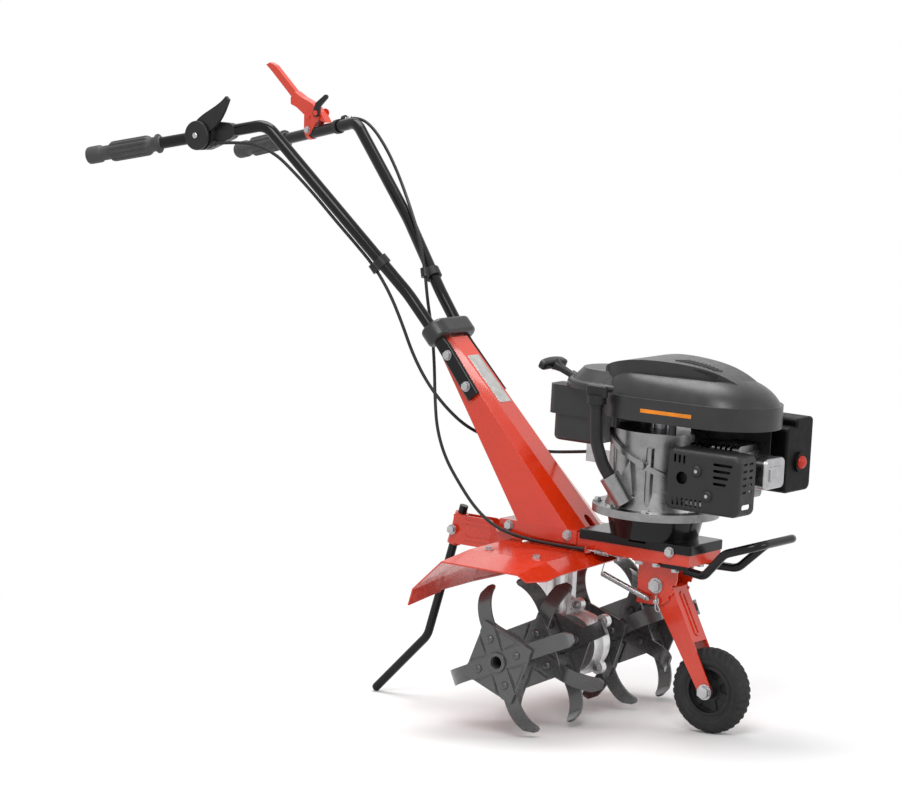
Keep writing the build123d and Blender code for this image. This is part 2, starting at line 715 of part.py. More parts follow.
# Control cables: from the levers along the handle tubes, past the column, to chassis and engine
CLUTCH_ROUTE = [
    (-678, 168.8, 882.7),
    (-643, 152, 886),
    (-608, 146, 868.5),
    (-571, 138, 834),
    (-537, 126.5, 796),
    (-507, 113, 760),
    (-467, 86, 720),
    (-431, 62, 678),
    (-402.5, 42.5, 622),
    (-390, 37, 571),
    (-381, 45, 513),
    (-367, 37, 454),
    (-351, 21, 396),
    (-328, -1, 344),
    (-292, -22, 297),
    (-248, -37, 257),
    (-200, -54, 221),
    (-145, -67, 194),
    (-84, -68, 184),
    (-22, -66, 181),
    (40, -64, 181.5),
]
THROTTLE_ROUTE = [
    (-728, -180, 838),
    (-677, -157, 846),
    (-630, -133, 829),
    (-588, -121, 793),
    (-548, -110, 755),
    (-509, -99, 714),
    (-471, -85, 674),
    (-435, -70, 633),
    (-401, -67, 588),
    (-374, -64, 538),
    (-350, -61, 486),
    (-320, -56, 438),
    (-282, -50, 397),
    (-250, -23, 360),
    (-225, 22, 338),
    (-188, 61, 322),
    (-132, 66, 321),
    (-78, 50, 329),
    (-25.2, 36.3, 338),
]
ADJUSTER_WAY = Vector(-62, 4, -16.5).normalized()
with BuildPart() as clutch_cable:
    clutch_radii = bend_radii(CLUTCH_ROUTE)
    clutch_length = tube(CLUTCH_ROUTE, clutch_radii, CABLE_RADIUS, 0)
    rod((40, -64, 181.5), (1, 0, 0), CABLE_RADIUS + 1, 5.8)
    for from_start, radius, length in ((0, 5, 22), (21, 3.5, 19), (39, 2.6, 14)):
        fitting = Vector(*CLUTCH_ROUTE[0]) + ADJUSTER_WAY * from_start
        rod(place_of(fitting), place_of(ADJUSTER_WAY), radius, length)
clutch_cable.part.label = "clutch_cable"
export_step(clutch_cable.part, "parts/clutch_cable.step")
print("clutch cable", round(clutch_length), "tightest bend", round(min(clutch_radii)))

with BuildPart() as throttle_cable:
    throttle_radii = bend_radii(THROTTLE_ROUTE)
    throttle_length = tube(THROTTLE_ROUTE, throttle_radii, CABLE_RADIUS, 0)
throttle_cable.part.label = "throttle_cable"
export_step(throttle_cable.part, "parts/throttle_cable.step")
print("throttle cable", round(throttle_length), "tightest bend", round(min(throttle_radii)))

# Cable clips: plastic rings on the tubes with an eye around the bend of the cable
CLIP_LONG = 17.0
CLIP_RING = TUBE_RADIUS + 4
CLIP_EYE = CABLE_RADIUS + 5
ADJUSTER_FROM_END = 303.0


def bend_middle(points, corner):
    """Place and direction of a cable at the middle of the bend at a corner of its route."""
    before, here, after = (Vector(*points[corner + step]) for step in (-1, 0, 1))
    first = (here - before).normalized()
    second = (after - here).normalized()
    turn = acos(first.dot(second))
    inside = (second - first).normalized()
    place = here + inside * (bend_radii(points)[corner - 1] * (1 / cos(turn / 2) - 1))
    return place, (first + second).normalized()


with BuildPart() as cable_clips:
    leg_low = Vector(*TUBE_ROUTE[1])
    leg_high = Vector(*TUBE_ROUTE[2])
    leg_way = (leg_high - leg_low).normalized()
    for side, up_leg, cable, corner in ((-1, 68, THROTTLE_ROUTE, 7), (1, 32, CLUTCH_ROUTE, 8)):
        eye_middle, eye_way = bend_middle(cable, corner)
        ring_place = leg_low + leg_way * up_leg
        ring_way = (leg_way.X, -side * leg_way.Y, leg_way.Z)
        eye_foot = place_of(eye_middle - eye_way * (CLIP_LONG / 2))
        rod((ring_place.X, -side * ring_place.Y, ring_place.Z), ring_way, CLIP_RING, CLIP_LONG)
        rod(eye_foot, place_of(eye_way), CLIP_EYE, CLIP_LONG)
        rod((leg_low.X, -side * leg_low.Y, leg_low.Z), ring_way, TUBE_RADIUS, 165, Mode.SUBTRACT)
        rod(eye_foot, place_of(eye_way), CABLE_RADIUS + 0.4, CLIP_LONG, Mode.SUBTRACT)
    adjuster_eye = place_of(Vector(*CLUTCH_ROUTE[0]) + ADJUSTER_WAY * 14)
    rod(adjuster_eye, place_of(ADJUSTER_WAY), 9, 6)
    rod(on_tube(ADJUSTER_FROM_END, 1), tube_way(1), TUBE_RADIUS + 3, 9)
    rod(on_tube(ADJUSTER_FROM_END - 20, 1), tube_way(1), TUBE_RADIUS, 50, Mode.SUBTRACT)
    rod(adjuster_eye, place_of(ADJUSTER_WAY), 5.3, 6, Mode.SUBTRACT)
cable_clips.part.label = "cable_clips"
export_step(cable_clips.part, "parts/cable_clips.step")

# Throttle housing: clamp on the right tube with a flat disc, split for the lever's ring
THROTTLE_FROM_END = 241.5
THROTTLE_DISC = 27.0
throttle_spot = on_tube(THROTTLE_FROM_END, -1)
disc_inner = throttle_spot[1] - 7
lever_slot = disc_inner - 12
THROTTLE_NOSE = 46.0
NOSE_RADIUS = 15.5
grip_way = Vector(*tube_way(-1))
body_out = Vector(0, -1, 0) + grip_way * grip_way.Y
throttle_body = Plane(
    origin=spot(*throttle_spot), x_dir=heading(*tube_way(-1)), z_dir=heading(*place_of(body_out))
)
with BuildPart() as throttle_housing:
    rod((throttle_spot[0], disc_inner, throttle_spot[2]), (0, -1, 0), THROTTLE_DISC, 26)
    fillet(throttle_housing.faces().sort_by(Axis.Y)[0].edges(), 3)
    rod((throttle_spot[0], disc_inner - 26, throttle_spot[2]), (0, -1, 0), 5, 1.5)
    with BuildSketch(throttle_body):
        Circle(THROTTLE_DISC)
        with Locations((THROTTLE_NOSE, 0)):
            Circle(NOSE_RADIUS)
        make_hull()
    extrude(amount=12, both=True)
    with BuildSketch(side_plane_at(throttle_spot[0], lever_slot, throttle_spot[2])):
        Circle(THROTTLE_DISC + 4)
        Circle(9, mode=Mode.SUBTRACT)
    extrude(amount=8, mode=Mode.SUBTRACT)
    nozzle = Vector(*throttle_spot) + Vector(22, -15.1, -14.1)
    rod(place_of(nozzle), (51, 23, 8), CABLE_RADIUS + 2.5, 9.9)
    rod(on_tube(THROTTLE_FROM_END - 60, -1), tube_way(-1), TUBE_RADIUS, 160, Mode.SUBTRACT)
throttle_housing.part.label = "throttle_housing"
export_step(throttle_housing.part, "parts/throttle_housing.step")

# Throttle lever: ring in the housing's slot with a fin to push
with BuildPart() as throttle_lever:
    with BuildSketch(side_plane_at(throttle_spot[0], lever_slot - 0.6, throttle_spot[2])):
        Circle(22)
        with BuildLine():
            Spline((-14, 16), (4, 35), (30, 52), (60, 76))
            Line((60, 76), (67, 70))
            Spline((67, 70), (57, 46), (46, 28), (21, 8))
            Line((21, 8), (-14, 16))
        make_face()
        Circle(9.3, mode=Mode.SUBTRACT)
    extrude(amount=6.8)
throttle_lever.part.label = "throttle_lever"
export_step(throttle_lever.part, "parts/throttle_lever.step")

# Clutch bracket: red clamp on the left tube with two ears, the lever's rivet and the lock pin
CLUTCH_FROM_END = 225.2
LEVER_RISE = 32.0
LOCK_AHEAD = 22.0
LOCK_RISE = 40.5
EAR_INNER = 11.2
BAND_BOLT = (0.6, 6.4)
clutch_spot = on_tube(CLUTCH_FROM_END, 1)
clutch_side = side_plane_at(*clutch_spot)
lever_pivot = (clutch_spot[0], clutch_spot[2] + LEVER_RISE)
lock_pivot = (clutch_spot[0] + LOCK_AHEAD, clutch_spot[2] + LOCK_RISE)
lock_face = clutch_spot[1] - EAR_INNER - SHEET
band_bolt_seat = (clutch_spot[0] + BAND_BOLT[0], lock_face, clutch_spot[2] + BAND_BOLT[1])
with BuildPart() as clutch_bracket:
    rod(on_tube(CLUTCH_FROM_END - 5, 1), tube_way(1), EAR_INNER + 1.4, 10)
    with BuildSketch(clutch_side):
        with Locations((0.6, 4)):
            Circle(8.5)
        with Locations((0, LEVER_RISE)):
            Circle(9)
        with Locations((LOCK_AHEAD, LOCK_RISE)):
            Circle(8)
        make_hull()
    extrude(amount=EAR_INNER + SHEET, both=True)
    with BuildSketch(clutch_side):
        with Locations((0, 40)):
            Rectangle(120, 57)
    extrude(amount=EAR_INNER, both=True, mode=Mode.SUBTRACT)
    ear_outer = EAR_INNER + SHEET
    rivet_start = clutch_spot[1] + ear_outer + 2
    rod((lever_pivot[0], rivet_start, lever_pivot[1]), (0, -1, 0), 3.5, 2 * ear_outer + 4)
    rod((lever_pivot[0], rivet_start, lever_pivot[1]), (0, -1, 0), 5.5, 2)
    rod((lever_pivot[0], lock_face, lever_pivot[1]), (0, -1, 0), 5.5, 2)
    rod((lock_pivot[0], lock_face, lock_pivot[1]), (0, -1, 0), 3, 7)
    rod((lock_pivot[0], lock_face - 5.4, lock_pivot[1]), (0, -1, 0), 5, 1.6)
    rod(on_tube(CLUTCH_FROM_END - 60, 1), tube_way(1), TUBE_RADIUS, 120, Mode.SUBTRACT)
    rod(band_bolt_seat, (0, 1, 0), 3, 2.6, Mode.SUBTRACT)
clutch_bracket.part.label = "clutch_bracket"
export_step(clutch_bracket.part, "parts/clutch_bracket.step")

# Clutch lever: pressed channel between the ears, with a slim arm that reaches back over the grip
LEVER_ARM_HALF = 6.0
with BuildPart() as clutch_lever:
    with BuildSketch(clutch_side):
        Polygon(
            (40, 23),
            (26, 42.5),
            (4, 58),
            (-22, 68),
            (-38, 77),
            (-46, 65),
            (-45, 52.7),
            (-30, 47),
            (-12, 34.6),
        )
        with Locations((0, LEVER_RISE)):
            Circle(8.5)
    extrude(amount=EAR_INNER - 0.6, both=True)
    with BuildSketch(clutch_side):
        Polygon((38, 16), (24, 38), (2, 53.5), (-22, 63.5), (-36, 68), (-41, 60), (-60, 40), (-12, 16))
    extrude(amount=EAR_INNER - 3.6, both=True, mode=Mode.SUBTRACT)
    with BuildSketch(clutch_side):
        Polygon(
            (-22, 68),
            (-38, 77),
            (-90, 123.4),
            (-103.6, 128.5),
            (-112, 123.7),
            (-98.3, 112.6),
            (-43.6, 63),
            (-30, 58),
        )
    extrude(amount=LEVER_ARM_HALF, both=True)
    rod((lever_pivot[0], clutch_spot[1] - 30, lever_pivot[1]), (0, 1, 0), 3.7, 60, Mode.SUBTRACT)
clutch_lever.part.label = "clutch_lever"
export_step(clutch_lever.part, "parts/clutch_lever.step")

# Lock lever: small curved catch beside the clutch lever
LOCK_ELBOW = (3.5, 15.5)
LOCK_TIP = (21, 32)
with BuildPart() as lock_lever:
    lock_side = side_plane_at(lock_pivot[0], lock_face - 0.5, lock_pivot[1])
    for near_end, near_radius, far_end, far_radius in (
        ((0, 0), 7.5, LOCK_ELBOW, 6),
        (LOCK_ELBOW, 6, LOCK_TIP, 4.5),
    ):
        with BuildSketch(lock_side) as catch:
            with Locations(near_end):
                Circle(near_radius)
            with Locations(far_end):
                Circle(far_radius)
            make_hull()
        extrude(catch.sketch, amount=4.4)
    rod((lock_pivot[0], lock_face + 5, lock_pivot[1]), (0, -1, 0), 3.2, 20, Mode.SUBTRACT)
lock_lever.part.label = "lock_lever"
export_step(lock_lever.part, "parts/lock_lever.step")

# Tine axle and worm wheel
AXLE_WAY = (0, 1, 0)
with BuildPart() as tine_axle:
    rod((0, -AXLE_HALF, 0), AXLE_WAY, AXLE_RADIUS, 2 * AXLE_HALF)
    chamfer(tine_axle.edges().filter_by(GeomType.CIRCLE), 1.5)
tine_axle.part.label = "tine_axle"
export_step(tine_axle.part, "parts/tine_axle.step")

LEAD_ANGLE = degrees(atan2(WORM_LEAD, 2 * pi * WORM_PITCH_RADIUS))
TOOTH_PITCH = 360 / WORM_WHEEL_TEETH
with BuildPart() as worm_wheel:
    rod((0, -WHEEL_FACE / 2, 0), AXLE_WAY, WHEEL_PITCH_RADIUS + WORM_MODULE, WHEEL_FACE)
    for tooth in range(WORM_WHEEL_TEETH):
        turn = radians(180 + tooth * TOOTH_PITCH)
        radial = heading(cos(turn), 0, sin(turn))
        lean = radians(LEAD_ANGLE)
        along = heading(-sin(turn) * sin(lean), -cos(lean), cos(turn) * sin(lean))
        gash = Plane(origin=spot(0, 0, 0), x_dir=radial, z_dir=along)
        root = WHEEL_PITCH_RADIUS - 1.25 * WORM_MODULE
        crest = WHEEL_PITCH_RADIUS + 2 * WORM_MODULE
        with BuildSketch(gash) as gap:
            Polygon((root, -1.7), (crest, -4.9), (crest, 4.9), (root, 1.7))
        extrude(gap.sketch, amount=WHEEL_FACE, both=True, mode=Mode.SUBTRACT)
    rod((0, -WHEEL_FACE, 0), AXLE_WAY, AXLE_RADIUS, 2 * WHEEL_FACE, Mode.SUBTRACT)
worm_wheel.part.label = "worm_wheel"
export_step(worm_wheel.part, "parts/worm_wheel.step")

# Worm shaft: upright shaft with one thread that meshes with the wheel's gaps
WORM_TURNS = 4
SHAFT_TOP = 203.0
WORM_ROOT = 6.8
with BuildPart() as worm_thread:
    with BuildLine() as thread_line:
        Helix(WORM_LEAD, WORM_TURNS * WORM_LEAD, WORM_PITCH_RADIUS)
    with BuildSketch(Plane(origin=thread_line.line @ 0, x_dir=(1, 0, 0), z_dir=thread_line.line % 0)):
        Polygon((-3.6, -2.6), (-3.6, 2.6), (2.4, 0.9), (2.4, -0.9))
    sweep(path=thread_line.line, is_frenet=True)
thread_seat = Plane(
    origin=spot(-WORM_BACK, 0, -WORM_TURNS * WORM_LEAD / 2), x_dir=FORWARD, z_dir=UP
)
with BuildPart() as worm_shaft:
    add(thread_seat.location * worm_thread.part)
    rod((-WORM_BACK, 0, -33), (0, 0, 1), WORM_ROOT, 66)
    rod((-WORM_BACK, 0, 32), (0, 0, 1), 9, SHAFT_TOP - 32)
worm_shaft.part.label = "worm_shaft"
export_step(worm_shaft.part, "parts/worm_shaft.step")

# Gear case: two castings that meet in the middle plane
with BuildPart() as gear_case:
    rod((0, -CASE_HALF, 0), AXLE_WAY, HOUSING_RADIUS, 2 * CASE_HALF)
    rod((0, -CASE_BOSS_HALF, 0), AXLE_WAY, 24, 2 * CASE_BOSS_HALF)
    rod((-WORM_BACK, 0, -44), (0, 0, 1), 23, 44 + 168)
    with BuildSketch(level_plane(168)):
        with Locations((-WORM_BACK, 0)):
            RectangleRounded(92, 80, 8)
    extrude(amount=CHASSIS_BOTTOM - 168)
    with BuildSketch(side_plane(7)):
        Circle(HOUSING_RADIUS + 7)
        with Locations((-WORM_BACK, 60)):
            Rectangle(64, 220)
        for lug_forward, lug_up in ((52, 46), (47, -38), (-4, 68), (-74, 90), (-74, 10)):
            with Locations((lug_forward, lug_up)):
                Circle(12)
    extrude(amount=14)
    rod((0, -11, 0), AXLE_WAY, 43, 22, Mode.SUBTRACT)
    rod((-WORM_BACK, 0, -28), (0, 0, 1), 14.5, 62, Mode.SUBTRACT)
    rod((-WORM_BACK, 0, -35), (0, 0, 1), WORM_ROOT + RUNNING_FIT, 20, Mode.SUBTRACT)
    rod((-WORM_BACK, 0, 20), (0, 0, 1), 9 + RUNNING_FIT, 170, Mode.SUBTRACT)
    rod((0, -60, 0), AXLE_WAY, AXLE_RADIUS + RUNNING_FIT, 120, Mode.SUBTRACT)
    with BuildSketch(level_plane(CHASSIS_BOTTOM)):
        with Locations((-WORM_BACK, 0)):
            Rectangle(300, 300)
    extrude(amount=60, mode=Mode.SUBTRACT)
for case_name, kept in (("gear_case_right", Keep.BOTTOM), ("gear_case_left", Keep.TOP)):
    with BuildPart() as case_half:
        add(gear_case.part)
        split(bisect_by=Plane(origin=(0, 0, 0), z_dir=(0, 1, 0)), keep=kept)
        for lug_forward, lug_up in ((52, 46), (47, -38), (-4, 68)):
            rod((lug_forward, -30, lug_up), AXLE_WAY, 3.2, 60, Mode.SUBTRACT)
    case_half.part.label = case_name
    export_step(case_half.part, f"parts/{case_name}.step")


def pulley(forward, outer, bore):
    """V-belt pulley on an upright shaft, its groove at the height of the belt."""
    bottom = outer - 9.5
    with BuildSketch(side_plane(0)) as section:
        with Locations((forward, 0)):
            Polygon(
                (bore, BELT_BOTTOM - 3),
                (outer, BELT_BOTTOM - 3),
                (outer, BELT_BOTTOM - 1.8),
                (bottom, BELT_BOTTOM - 0.5),
                (bottom, BELT_TOP + 0.5),
                (outer, BELT_TOP + 1.8),
                (outer, BELT_TOP + 3),
                (bore, BELT_TOP + 3),
            )
    revolve(section.sketch, axis=Axis(spot(forward, 0, 0), UP))


with BuildPart() as driven_pulley:
    pulley(-WORM_BACK, DRIVEN_RADIUS, 9)
driven_pulley.part.label = "driven_pulley"
export_step(driven_pulley.part, "parts/driven_pulley.step")

with BuildPart() as engine_pulley:
    pulley(CRANK_FORWARD, DRIVER_RADIUS, CRANK_RADIUS)
engine_pulley.part.label = "engine_pulley"
export_step(engine_pulley.part, "parts/engine_pulley.step")

# Drive belt: loop around both pulleys
with BuildPart() as drive_belt:
    for depth, how in ((1, Mode.ADD), (9, Mode.SUBTRACT)):
        with BuildSketch(level_plane(BELT_BOTTOM)):
            with Locations((-WORM_BACK, 0)):
                Circle(DRIVEN_RADIUS - depth)
            with Locations((CRANK_FORWARD, 0)):
                Circle(DRIVER_RADIUS - depth)
            make_hull()
        extrude(amount=BELT_TOP - BELT_BOTTOM, mode=how)
drive_belt.part.label = "drive_belt"
export_step(drive_belt.part, "parts/drive_belt.step")

# Idler: arm on its pin above the belt, with the tail for the clutch cable, and its pulley
ARM_BOTTOM = 200.4
TAIL_FORWARD = 100.0
TAIL_LEFT = -42.0
with BuildPart() as idler_arm:
    for end_forward, end_left in ((IDLER_FORWARD, 0), (TAIL_FORWARD, TAIL_LEFT)):
        with BuildSketch(level_plane(ARM_BOTTOM)):
            with Locations((IDLER_PIVOT, 0)):
                Circle(10)
            with Locations((end_forward, end_left)):
                Circle(7)
            make_hull()
        extrude(amount=3.2)
    rod((IDLER_PIVOT, 0, ARM_BOTTOM - 10), (0, 0, 1), IDLER_PIN + 0.3, 30, Mode.SUBTRACT)
    rod((IDLER_FORWARD, 0, ARM_BOTTOM), (0, 0, -1), IDLER_PIN, 18)
    rod((IDLER_FORWARD, 0, ARM_BOTTOM - 16.4), (0, 0, -1), IDLER_PIN + 2, 1.6)
    rod((TAIL_FORWARD, TAIL_LEFT, ARM_BOTTOM), (0, 0, -1), 4, 33)
idler_arm.part.label = "idler_arm"
export_step(idler_arm.part, "parts/idler_arm.step")

with BuildPart() as idler_pulley:
    rod((IDLER_FORWARD, 0, ARM_BOTTOM - 2.4), (0, 0, -1), IDLER_RADIUS, 13.6)
    rod((IDLER_FORWARD, 0, ARM_BOTTOM + 5), (0, 0, -1), IDLER_PIN + 0.1, 40, Mode.SUBTRACT)
idler_pulley.part.label = "idler_pulley"
export_step(idler_pulley.part, "parts/idler_pulley.step")


# Tine hubs: tubes with pressed square plates welded on
def star_plate(left, phase, face_way):
    """Square plate across the axle, pressed with a raised cross and four flaps beside slits."""
    with BuildSketch(side_plane(left + PLATE_THICK / 2)) as plate:
        Rectangle(PLATE_CORNER * sqrt(2), PLATE_CORNER * sqrt(2), rotation=phase + 45)
        with PolarLocations(0, 4, phase + 45):
            for edge in (-1, 1):
                Polygon((27, edge * 2), (50, edge * 21.5), (50, edge * 26), mode=Mode.SUBTRACT)
    extrude(plate.sketch, amount=PLATE_THICK)
    face = left + face_way * PLATE_THICK / 2
    with BuildSketch(side_plane(face)) as cross:
        with PolarLocations(0, 4, phase):
            Polygon((0, -15), (0, 15), (61, 15), (PLATE_CORNER, 0), (61, -15))
    extrude(cross.sketch, amount=-face_way * PLATE_RELIEF)
    with BuildSketch(side_plane(face)) as flaps:
        with PolarLocations(0, 4, phase + 45):
            Polygon((27, 0), (50, 19.5), (50, -19.5))
    extrude(flaps.sketch, amount=-face_way * PLATE_RELIEF * 0.7)


def hub(side, start, end, plates):
    """Hub tube of one side from start to end, with its star plates."""
    rod((0, side * start, 0), (0, side, 0), HUB_RADIUS, end - start)
    for left, phase, face_way in plates:
        star_plate(side * left, phase, side * face_way)
    rod((0, -400, 0), AXLE_WAY, HUB_BORE, 800, Mode.SUBTRACT)


def blades(side, left, phase, bend_way):
    """Four blades on a plate: flat strips that curve along the axle toward their tips."""
    rest = (BLADE_TIP - BLADE_FLAT - BLADE_BEND * sin(radians(BLADE_TURN))) / cos(radians(BLADE_TURN))
    for arm in range(4):
        turn = radians(phase + 90 * arm)
        radial = heading(cos(turn), 0, sin(turn))
        axial = heading(0, bend_way, 0)
        seat = side * left + bend_way * (PLATE_THICK + BLADE_THICK) / 2
        blade_side = Plane(origin=spot(0, seat, 0), x_dir=radial, z_dir=radial.cross(axial))
        with BuildSketch(blade_side) as profile:
            with BuildLine():
                Line((20, 0), (BLADE_FLAT, 0))
                bend = JernArc((BLADE_FLAT, 0), (1, 0), BLADE_BEND, BLADE_TURN)
                PolarLine(bend @ 1, rest, BLADE_TURN)
            trace(line_width=BLADE_THICK)
        extrude(profile.sketch, amount=BLADE_WIDTH / 2, both=True)
    with BuildSketch(side_plane(side * left)) as corners:
        with PolarLocations(0, 4, phase):
            for edge in (-1, 1):
                Polygon(
                    (BLADE_TIP - BLADE_CORNER, edge * (BLADE_WIDTH / 2 + 0.1)),
                    (BLADE_TIP + 4, edge * (BLADE_WIDTH / 2 + 0.1)),
                    (BLADE_TIP + 4, edge * (BLADE_WIDTH / 2 - BLADE_CORNER - 4)),
                )
    extrude(corners.sketch, amount=BLADE_SWEEP, both=True, mode=Mode.SUBTRACT)


for side, side_name in ((-1, "right"), (1, "left")):
    with BuildPart() as hub_inner:
        inner_plates = [(INNER_PLATE, INNER_PHASE, -1), (MIDDLE_PLATE, MIDDLE_PHASE, 1)]
        hub(side, HUB_INNER_START, HUB_SPLIT, inner_plates)
    hub_inner.part.label = f"tine_hub_inner_{side_name}"
    export_step(hub_inner.part, f"parts/tine_hub_inner_{side_name}.step")
    with BuildPart() as hub_outer:
        hub(side, HUB_SPLIT + 1, HUB_END, [(OUTER_PLATE, OUTER_PHASE, 1)])
        rod((0, side * (AXLE_HALF + 0.5), 0), (0, side, 0), HUB_SOCKET, 60, Mode.SUBTRACT)
    hub_outer.part.label = f"tine_hub_outer_{side_name}"
    export_step(hub_outer.part, f"parts/tine_hub_outer_{side_name}.step")
    with BuildPart() as blades_inner:
        blades(side, INNER_PLATE, INNER_PHASE, side)
        blades(side, MIDDLE_PLATE, MIDDLE_PHASE, -side)
    blades_inner.part.label = f"tine_blades_inner_{side_name}"
    export_step(blades_inner.part, f"parts/tine_blades_inner_{side_name}.step")
    with BuildPart() as blades_outer:
        blades(side, OUTER_PLATE, OUTER_PHASE, -side)
    blades_outer.part.label = f"tine_blades_outer_{side_name}"
    export_step(blades_outer.part, f"parts/tine_blades_outer_{side_name}.step")

# Wheel leg: channel from the pivot to the axle, its front wall ending above the tyre
leg_reach = Vector(WHEEL_FORWARD - LEG_PIVOT_FORWARD, 0, -WHEEL_DROP - LEG_PIVOT_UP)
LEG_LENGTH = leg_reach.length
leg_side = Plane(
    origin=spot(LEG_PIVOT_FORWARD, 0, LEG_PIVOT_UP),
    x_dir=heading(leg_reach.X, 0, leg_reach.Z),
    z_dir=-LEFT,
)
LEG_WALL_END = LEG_LENGTH - WHEEL_RADIUS - 10
LEG_FRONT = 26.0
LEG_END_RADIUS = 13.0
leg_slope = (LEG_FRONT - LEG_END_RADIUS) / (LEG_LENGTH - 17)
with BuildPart() as wheel_leg:
    with BuildSketch(leg_side):
        Circle(16)
        with Locations((LEG_LENGTH, 0)):
            Circle(LEG_END_RADIUS)
        with Locations((17, LEG_FRONT - 2)):
            Circle(2)
        make_hull()
        Circle(6.2, mode=Mode.SUBTRACT)
        with Locations((LEG_LENGTH, 0)):
            Circle(WHEEL_BOLT, mode=Mode.SUBTRACT)
    extrude(amount=LEG_HALF, both=True)
    with BuildSketch(leg_side):
        Polygon(
            (-60, -60),
            (280, -60),
            (280, 60),
            (LEG_WALL_END, 60),
            (LEG_WALL_END, LEG_FRONT - SHEET - leg_slope * (LEG_WALL_END - 17)),
            (4, LEG_FRONT - SHEET),
            (-60, LEG_FRONT - SHEET),
        )
    extrude(amount=LEG_HALF - SHEET, both=True, mode=Mode.SUBTRACT)
    with BuildSketch(leg_side):
        Polygon((-60, 12), (2, 12), (2, 60), (-60, 60))
    extrude(amount=LEG_HALF - SHEET, both=True, mode=Mode.SUBTRACT)
    front_start = leg_side.from_local_coords(Vector(17, LEG_FRONT, 0))
    front_end = leg_side.from_local_coords(Vector(LEG_LENGTH, LEG_END_RADIUS, 0))
    front_way = (front_end - front_start).normalized()
    front_wall = Plane(origin=front_start, x_dir=front_way, z_dir=front_way.cross(LEFT))
    with BuildSketch(front_wall.offset(-1)):
        with Locations((50, 0)):
            SlotOverall(84, 16)
            SlotOverall(74, 6, mode=Mode.SUBTRACT)
    extrude(amount=3)
wheel_leg.part.label = "wheel_leg"
export_step(wheel_leg.part, "parts/wheel_leg.step")

wheel_spot = (WHEEL_FORWARD, 0, -WHEEL_DROP)
with BuildPart() as wheel_axle:
    bolt((WHEEL_FORWARD, -LEG_HALF, -WHEEL_DROP), (0, -1, 0), 2 * WHEEL_BOLT, 2 * LEG_HALF)
    bolt((WHEEL_FORWARD, LEG_HALF, -WHEEL_DROP), (0, 1, 0), 2 * WHEEL_BOLT, 2)
wheel_axle.part.label = "wheel_axle"
export_step(wheel_axle.part, "parts/wheel_axle.step")

# Front wheel: rim with six wedge openings and a rubber tyre
with BuildPart() as wheel_rim:
    rod((WHEEL_FORWARD, -14, -WHEEL_DROP), AXLE_WAY, RIM_RADIUS, 28)
    for face in (-14, 4):
        with BuildSketch(side_plane(face + 10)):
            with Locations((WHEEL_FORWARD, -WHEEL_DROP)):
                Circle(RIM_RADIUS - 5)
        extrude(amount=10, mode=Mode.SUBTRACT)
    with BuildSketch(side_plane(20)):
        with Locations((WHEEL_FORWARD, -WHEEL_DROP)):
            with PolarLocations(0, 6, 15):
                Polygon((19, 5), (34, 13), (34, -13), (19, -5))
    extrude(amount=40, mode=Mode.SUBTRACT)
    rod((WHEEL_FORWARD, -20.4, -WHEEL_DROP), AXLE_WAY, 14, 40.8)
    rod((WHEEL_FORWARD, -30, -WHEEL_DROP), AXLE_WAY, WHEEL_BOLT + 0.05, 60, Mode.SUBTRACT)
wheel_rim.part.label = "wheel_rim"
export_step(wheel_rim.part, "parts/wheel_rim.step")

with BuildPart() as wheel_tyre:
    tyre_plane = Plane(origin=spot(*wheel_spot), x_dir=LEFT, z_dir=FORWARD)
    with BuildSketch(tyre_plane) as tyre_section:
        with BuildLine():
            ThreePointArc((-TYRE_HALF, 64), (0, WHEEL_RADIUS), (TYRE_HALF, 64))
            Polyline(
                (TYRE_HALF, 64),
                (TYRE_HALF, 52),
                (14, RIM_RADIUS),
                (-14, RIM_RADIUS),
                (-TYRE_HALF, 52),
                (-TYRE_HALF, 64),
            )
        make_face()
    revolve(tyre_section.sketch, axis=Axis(spot(*wheel_spot), LEFT))
wheel_tyre.part.label = "wheel_tyre"
export_step(wheel_tyre.part, "parts/wheel_tyre.step")

# Places of the bolts around the engine flange
FLANGE_BOLT_TURNS = (45, 135, 205, 250, 290)


def flange_bolt(turn):
    """Forward and left place of a flange bolt, by its turn around the crank axis."""
    reach = FLANGE_RADIUS - 9
    return CRANK_FORWARD + reach * cos(radians(turn)), reach * sin(radians(turn))


